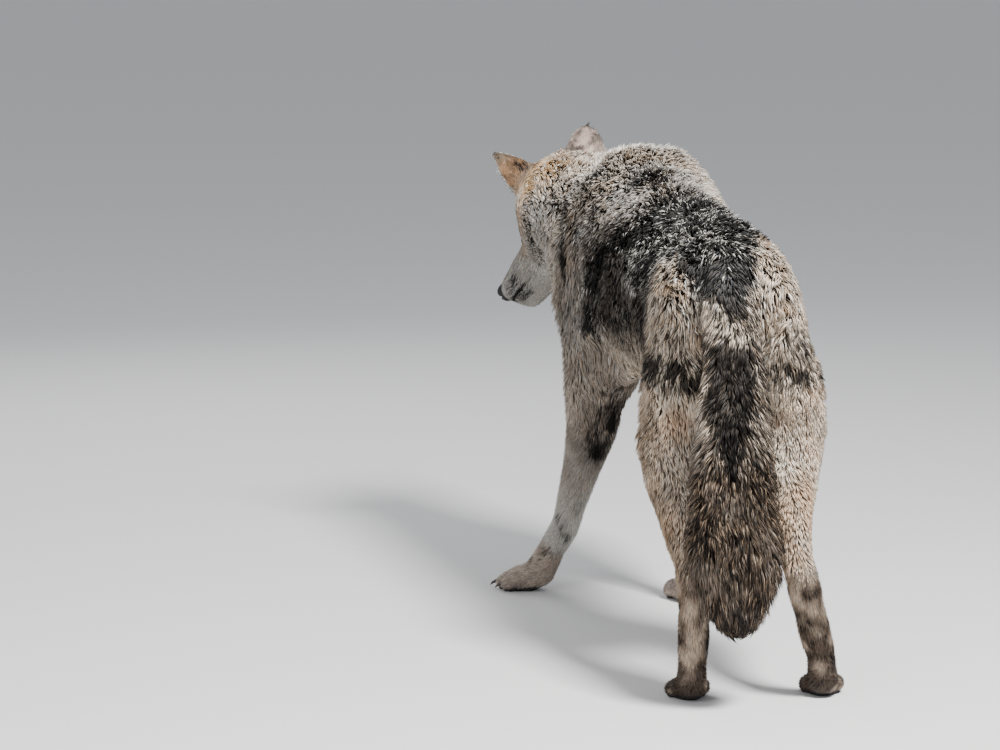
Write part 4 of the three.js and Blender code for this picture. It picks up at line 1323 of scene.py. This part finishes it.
class Eye:
    """An eyeball's place, and the axes of the almond opening between its lids."""

    def __init__(self, name, facing):
        low, high = box(name)
        self.centre = centre(name)
        self.radius = (high[2] - low[2]) / 2
        near = distance(outer, self.centre) < 2 * self.radius
        self.aim = unit(surface.normals(outer)[near].mean(0))
        aside, ahead, above = EYE_OUTWARD
        out = LEFT * facing * aside + AHEAD * ahead + ABOVE * above
        self.out = unit(out - self.aim * dot(out, self.aim))
        self.up = np.cross(self.aim, self.out)
        self.up = self.up * np.sign(dot(self.up, ABOVE))

    def level(self, u, upper):
        """How far the lid's edge stands from the opening's middle line, in eye radii."""
        return np.where(upper, UPPER_LID, LOWER_LID) * np.clip(1 - (u / LID_REACH) ** 2, 0, None)

    def margin(self, points):
        """How far points round the eye lie from its opening, in eye radii, drawn out at its corners."""
        way = unit(points - self.centre)
        u, v = way @ self.out, way @ self.up
        beyond = np.clip(np.abs(u) - LID_REACH, 0, None) * 0.5
        aside = np.clip(np.abs(v) - self.level(u, v > 0), 0, None)
        return np.where(way @ self.aim > 0, np.hypot(beyond, aside), 2.0)

    def lidded(self, points):
        """Skin around the eye: behind the ball in the opening, wrapped closely over it elsewhere."""
        far = distance(points, self.centre)
        way = (points - self.centre) / far[:, None]
        u, v, front = way @ self.out, way @ self.up, way @ self.aim
        opening = smooth_step(0.04, -0.04, np.abs(v) - self.level(u, v > 0)) * (front > 0)
        crease = LID_CREASE * np.exp(-((v - self.level(u, True) - 0.30) / 0.07) ** 2)
        crease = crease * (v > 0) * (np.abs(u) < 0.9)
        wrapped = np.where(front > 0, np.maximum(far, self.radius + LID_THICKNESS), far) - crease
        placed = self.centre + way * mix(wrapped, self.radius * BEHIND_LIDS, opening)[:, None]
        return np.where((far < 2 * self.radius)[:, None], placed, points)

    def rim(self, steps=72, sides=6):
        """The dark edge of both lids, as a thin closed tube on the ball."""
        turn = np.arange(steps) / steps * 2 * math.pi
        u = LID_REACH * np.cos(turn)
        v = self.level(u, np.sin(turn) > 0) * np.sign(np.sin(turn))
        front = np.sqrt(np.clip(1 - u**2 - v**2, 0, 1))
        way = unit(u[:, None] * self.out + v[:, None] * self.up + front[:, None] * self.aim)
        line = self.centre + way * (self.radius + RIM_SIZE * 0.5)
        side = np.cross(unit(np.roll(line, -1, 0) - np.roll(line, 1, 0)), way)
        rings = []
        for k in range(sides):
            angle = 2 * math.pi * k / sides
            rings.append(line + (way * math.cos(angle) + side * math.sin(angle)) * RIM_SIZE)
        return np.stack(rings, 1).reshape(-1, 3), ring_faces(steps, sides, closed=True)

    def ball(self, rings=44, sides=48):
        """The eyeball with a raised cornea, and its pupil, iris and dark white as colours of its rings."""
        tilt = np.linspace(0, math.pi, rings)
        turn = np.arange(sides) / sides * 2 * math.pi
        bulge = 1 + CORNEA * smooth_step(0.80, 0.15, tilt)
        out = np.cos(turn)[:, None] * self.out + np.sin(turn)[:, None] * self.up
        places = np.cos(tilt)[:, None, None] * self.aim + np.sin(tilt)[:, None, None] * out[None]
        points = self.centre + places * (self.radius * bulge)[:, None, None]
        streak = lattice(np.column_stack([np.arange(sides)] * 3), 5)
        colour = np.zeros((rings, sides, 3))
        iris = mix(IRIS_INNER, IRIS_OUTER, smooth_step(PUPIL, IRIS, tilt))
        colour[:] = iris[:, None] * (0.75 + 0.5 * streak)[None, :, None]
        colour[tilt < PUPIL] = BLACK * 0.5
        colour[tilt > IRIS] = BLACK
        colour[tilt > IRIS + IRIS_EDGE] = EYE_WHITE
        return points.reshape(-1, 3), ring_faces(rings, sides), colour.reshape(-1, 3)


# ---------------------------------------------------------------- nose
# places on the nose are shares of its half size: ahead, aside, up
NOSTRIL = np.array([0.82, 0.50, 0.10])
NOSTRIL_TAIL = np.array([0.50, 0.86, -0.20])
NOSE_SQUARENESS = 2.7
NOSTRIL_DEPTH, SLIT_DEPTH, GROOVE_DEPTH, NOSTRIL_LIP = 0.50, 0.16, 0.10, 0.03


def nose_shape(along=56, around=72):
    """The nose pad: a rounded block with comma-shaped nostrils and a groove down its front."""
    place = np.column_stack(in_head(corners_of("nose")))
    low, high = place.min(0), place.max(0)
    middle, half = (low + high) / 2, (high - low) / 2
    tilt = np.linspace(0, math.pi, along)
    turn = np.arange(around) / around * 2 * math.pi
    way = np.stack([
        np.outer(np.cos(tilt), np.ones(around)),
        np.outer(np.sin(tilt), np.cos(turn)),
        np.outer(np.sin(tilt), np.sin(turn)),
    ], -1).reshape(-1, 3)
    size = (np.abs(way) ** NOSE_SQUARENESS).sum(1) ** (-1 / NOSE_SQUARENESS)
    across = np.abs(way[:, 1])
    folded = np.column_stack([way[:, 0], across, way[:, 2]])
    hole = smooth_step(0.36, 0.14, np.linalg.norm((folded - NOSTRIL) * [0.7, 1.0, 1.1], axis=1))
    slit = stroke(folded, [NOSTRIL, NOSTRIL_TAIL], 0.16)
    groove = smooth_step(0.09, 0.0, across) * smooth_step(0.15, -0.10, way[:, 2]) * (way[:, 0] > 0)
    lip = smooth_step(0.60, 0.40, distance(folded, NOSTRIL)) * (1 - hole)
    sunk = NOSTRIL_DEPTH * hole
    size = size * (1 - sunk - SLIT_DEPTH * slit * (1 - hole) - GROOVE_DEPTH * groove + NOSTRIL_LIP * lip)
    place = middle + way * size[:, None] * half
    points = EYES + place @ np.stack([AHEAD, LEFT, ABOVE])
    # painted shade: the nostrils and their slits are darker than the pad
    shade = mix(NOSE_COLOUR, BLACK * 0.4, np.maximum(hole, 0.7 * slit))
    return points, ring_faces(along, around)[:, [0, 3, 2, 1]], shade


# ---------------------------------------------------------------- the skin
BODY_DETAIL = 0.28  # share of the skin's faces kept away from the head
MOUTH_GROOVE, MOUTH_LIP = 0.0030, 0.0008
MOUTH_WIDTH = 0.0016
PAD_LEVEL = 0.010


def lightened(mesh):
    """The mesh with fewer faces everywhere but on the head."""
    holder = held("lightened", mesh)
    body = holder.vertex_groups.new(name="body")
    body.add(np.flatnonzero(distance(skin, EYES) > 0.20).tolist(), 1.0, "REPLACE")
    thin = holder.modifiers.new("thin", "DECIMATE")
    thin.ratio = BODY_DETAIL
    thin.vertex_group = "body"
    return modified(holder)


def refined(mesh, chosen):
    """The mesh with the faces around chosen places cut finer."""
    bm = bmesh.new()
    bm.from_mesh(mesh)
    bm.verts.ensure_lookup_table()
    marked = set(np.flatnonzero(chosen).tolist())
    edges = [e for e in bm.edges if e.verts[0].index in marked or e.verts[1].index in marked]
    bmesh.ops.subdivide_edges(bm, edges=edges, cuts=3, use_grid_fill=True)
    bmesh.ops.triangulate(bm, faces=[f for f in bm.faces if len(f.verts) > 4])
    bm.to_mesh(mesh)
    bm.free()


def mouth_gap(points):
    """How far places on the muzzle are above the mouth's line, and how much of the line is there."""
    ahead, aside, above = in_head(points)
    there = smooth_step(0.000, 0.012, ahead) * (np.abs(aside) < 0.06) * (np.abs(above) < 0.10)
    return above - mouth_level(ahead), there


def face_shape(mesh):
    """Cuts the skin finer around the mouth and the eyes, and shapes the mouth's groove and the lids."""
    points = read(mesh.vertices, "co")
    gap, there = mouth_gap(points)
    chosen = (np.abs(gap) < 0.008) & (there > 0)
    for eye in eyes:
        chosen |= distance(points, eye.centre) < 1.8 * eye.radius
    refined(mesh, chosen)
    points, normal = read(mesh.vertices, "co"), read(mesh.vertices, "normal")
    gap, there = mouth_gap(points)
    groove = MOUTH_GROOVE * np.exp(-((gap / MOUTH_WIDTH) ** 2))
    groove = groove - MOUTH_LIP * np.exp(-(((gap - 0.0045) / 0.003) ** 2))
    points = points - normal * (groove * there)[:, None]
    for eye in eyes:
        points = eye.lidded(points)
    mesh.vertices.foreach_set("co", points.astype(np.float32).ravel())
    return points, normal, gap, there


def skin_mesh():
    """The skin with its face, and its colours: dark under dark hair, at the mouth, the pads and the lids."""
    mesh = lightened(mesh_of("skin", skin, surface.quads))
    points, normal, gap, there = face_shape(mesh)
    near = nearest_in(skin_tree, points)
    # the skin takes the hair's colours darkened: partly undercoat, partly painted shade under the coat
    shade = mix(hair.pale * 0.45, CHARCOAL, 0.75 * hair.black)[near]
    shade[(normal[:, 2] < -0.5) & (points[:, 2] < PAD_LEVEL)] = NOSE_COLOUR * 1.5
    shade = mix(shade, BLACK * 1.2, smooth_step(0.0030, 0.0012, np.abs(gap)) * there)
    for eye in eyes:
        lid = mix(BLACK * 1.5, hair.pale[near] * 0.85, smooth_step(0.14, 0.34, eye.margin(points)))
        shade = mix(shade, lid, smooth_step(1.7, 1.4, distance(points, eye.centre) / eye.radius))
    add_colour(mesh, shade)
    mesh.polygons.foreach_set("use_smooth", np.ones(len(mesh.polygons), bool))
    return mesh


def joined(name, meshes):
    """Several coloured meshes as one."""
    holders = [held(name, mesh) for mesh in meshes]
    select(holders)
    bpy.ops.object.join()
    mesh = holders[0].data
    bpy.data.objects.remove(holders[0])
    return mesh


# ---------------------------------------------------------------- pieces of the face and feet
eyes = [Eye("left_eye", 1), Eye("right_eye", -1)]
rims = [coloured("rim", *eye.rim(), BLACK) for eye in eyes]
skin_piece = piece("skin", joined("skin", [skin_mesh()] + rims), skin_material())
skin_piece.data.name = "skin"
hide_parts(*FLESH)
wet = eye_material()
for side, eye in zip(SIDES, eyes):
    ball = piece(f"{side}_eyeball", coloured("eyeball", *eye.ball()), wet)
    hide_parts(f"{side}_eye")
nose_pad = piece("nose_pad", coloured("nose_pad", *nose_shape()), nose_material())
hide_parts("nose")
horn = horn_material()
for side in SIDES:
    for limb in LIMBS:
        for k in CLAWS:
            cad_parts[f"{side}_{limb}_claw_{k}"].material_slots[0].material = horn

# ---------------------------------------------------------------- stage
CAMERA_PLACE = (1.170, 6.070, 1.272)
CAMERA_BEARING = math.radians(171.5)
CAMERA_RISE = math.radians(7.6)
LENS = 129.6
SENSOR = 36.0
FLOOR_SIZE = 240
FLOOR_COLOUR = (0.62, 0.61, 0.60, 1)
SKY_COLOUR = (0.80, 0.84, 0.90, 1)
SKY_STRENGTH = 0.70
LIT_PLACE = Vector((0, 0, 0.45))
# name, place, size, power
LAMPS = (
    ("key", (-0.9, 2.5, 3.4), 0.8, 480),
    ("fill", (2.8, 2.5, 1.8), 2.0, 60),
    ("front", (0.8, -3.2, 2.4), 2.0, 45),
)


def floor_and_sky():
    bpy.ops.mesh.primitive_plane_add(size=FLOOR_SIZE, location=(0, 0, 0))
    floor = bpy.context.object
    floor.name = "floor"
    pale, shader = material("floor", 0.85)
    shader.inputs["Base Color"].default_value = FLOOR_COLOUR
    floor.data.materials.append(pale)
    world = bpy.data.worlds.new("studio")
    bpy.context.scene.world = world
    world.use_nodes = True
    sky = world.node_tree.nodes["Background"]
    sky.inputs["Color"].default_value = SKY_COLOUR
    sky.inputs["Strength"].default_value = SKY_STRENGTH


def lamps():
    for name, place, size, power in LAMPS:
        lamp = bpy.data.lights.new(name, "AREA")
        lamp.size = size
        lamp.energy = power
        holder = held(name, lamp)
        holder.location = place
        holder.rotation_euler = (LIT_PLACE - Vector(place)).to_track_quat("-Z", "Y").to_euler()


def camera():
    lens = bpy.data.cameras.new("camera")
    lens.lens = LENS
    lens.sensor_width = SENSOR
    holder = held("camera", lens)
    holder.location = CAMERA_PLACE
    holder.rotation_euler = (math.pi / 2 - CAMERA_RISE, 0, CAMERA_BEARING)
    bpy.context.scene.camera = holder


floor_and_sky()
lamps()
camera()
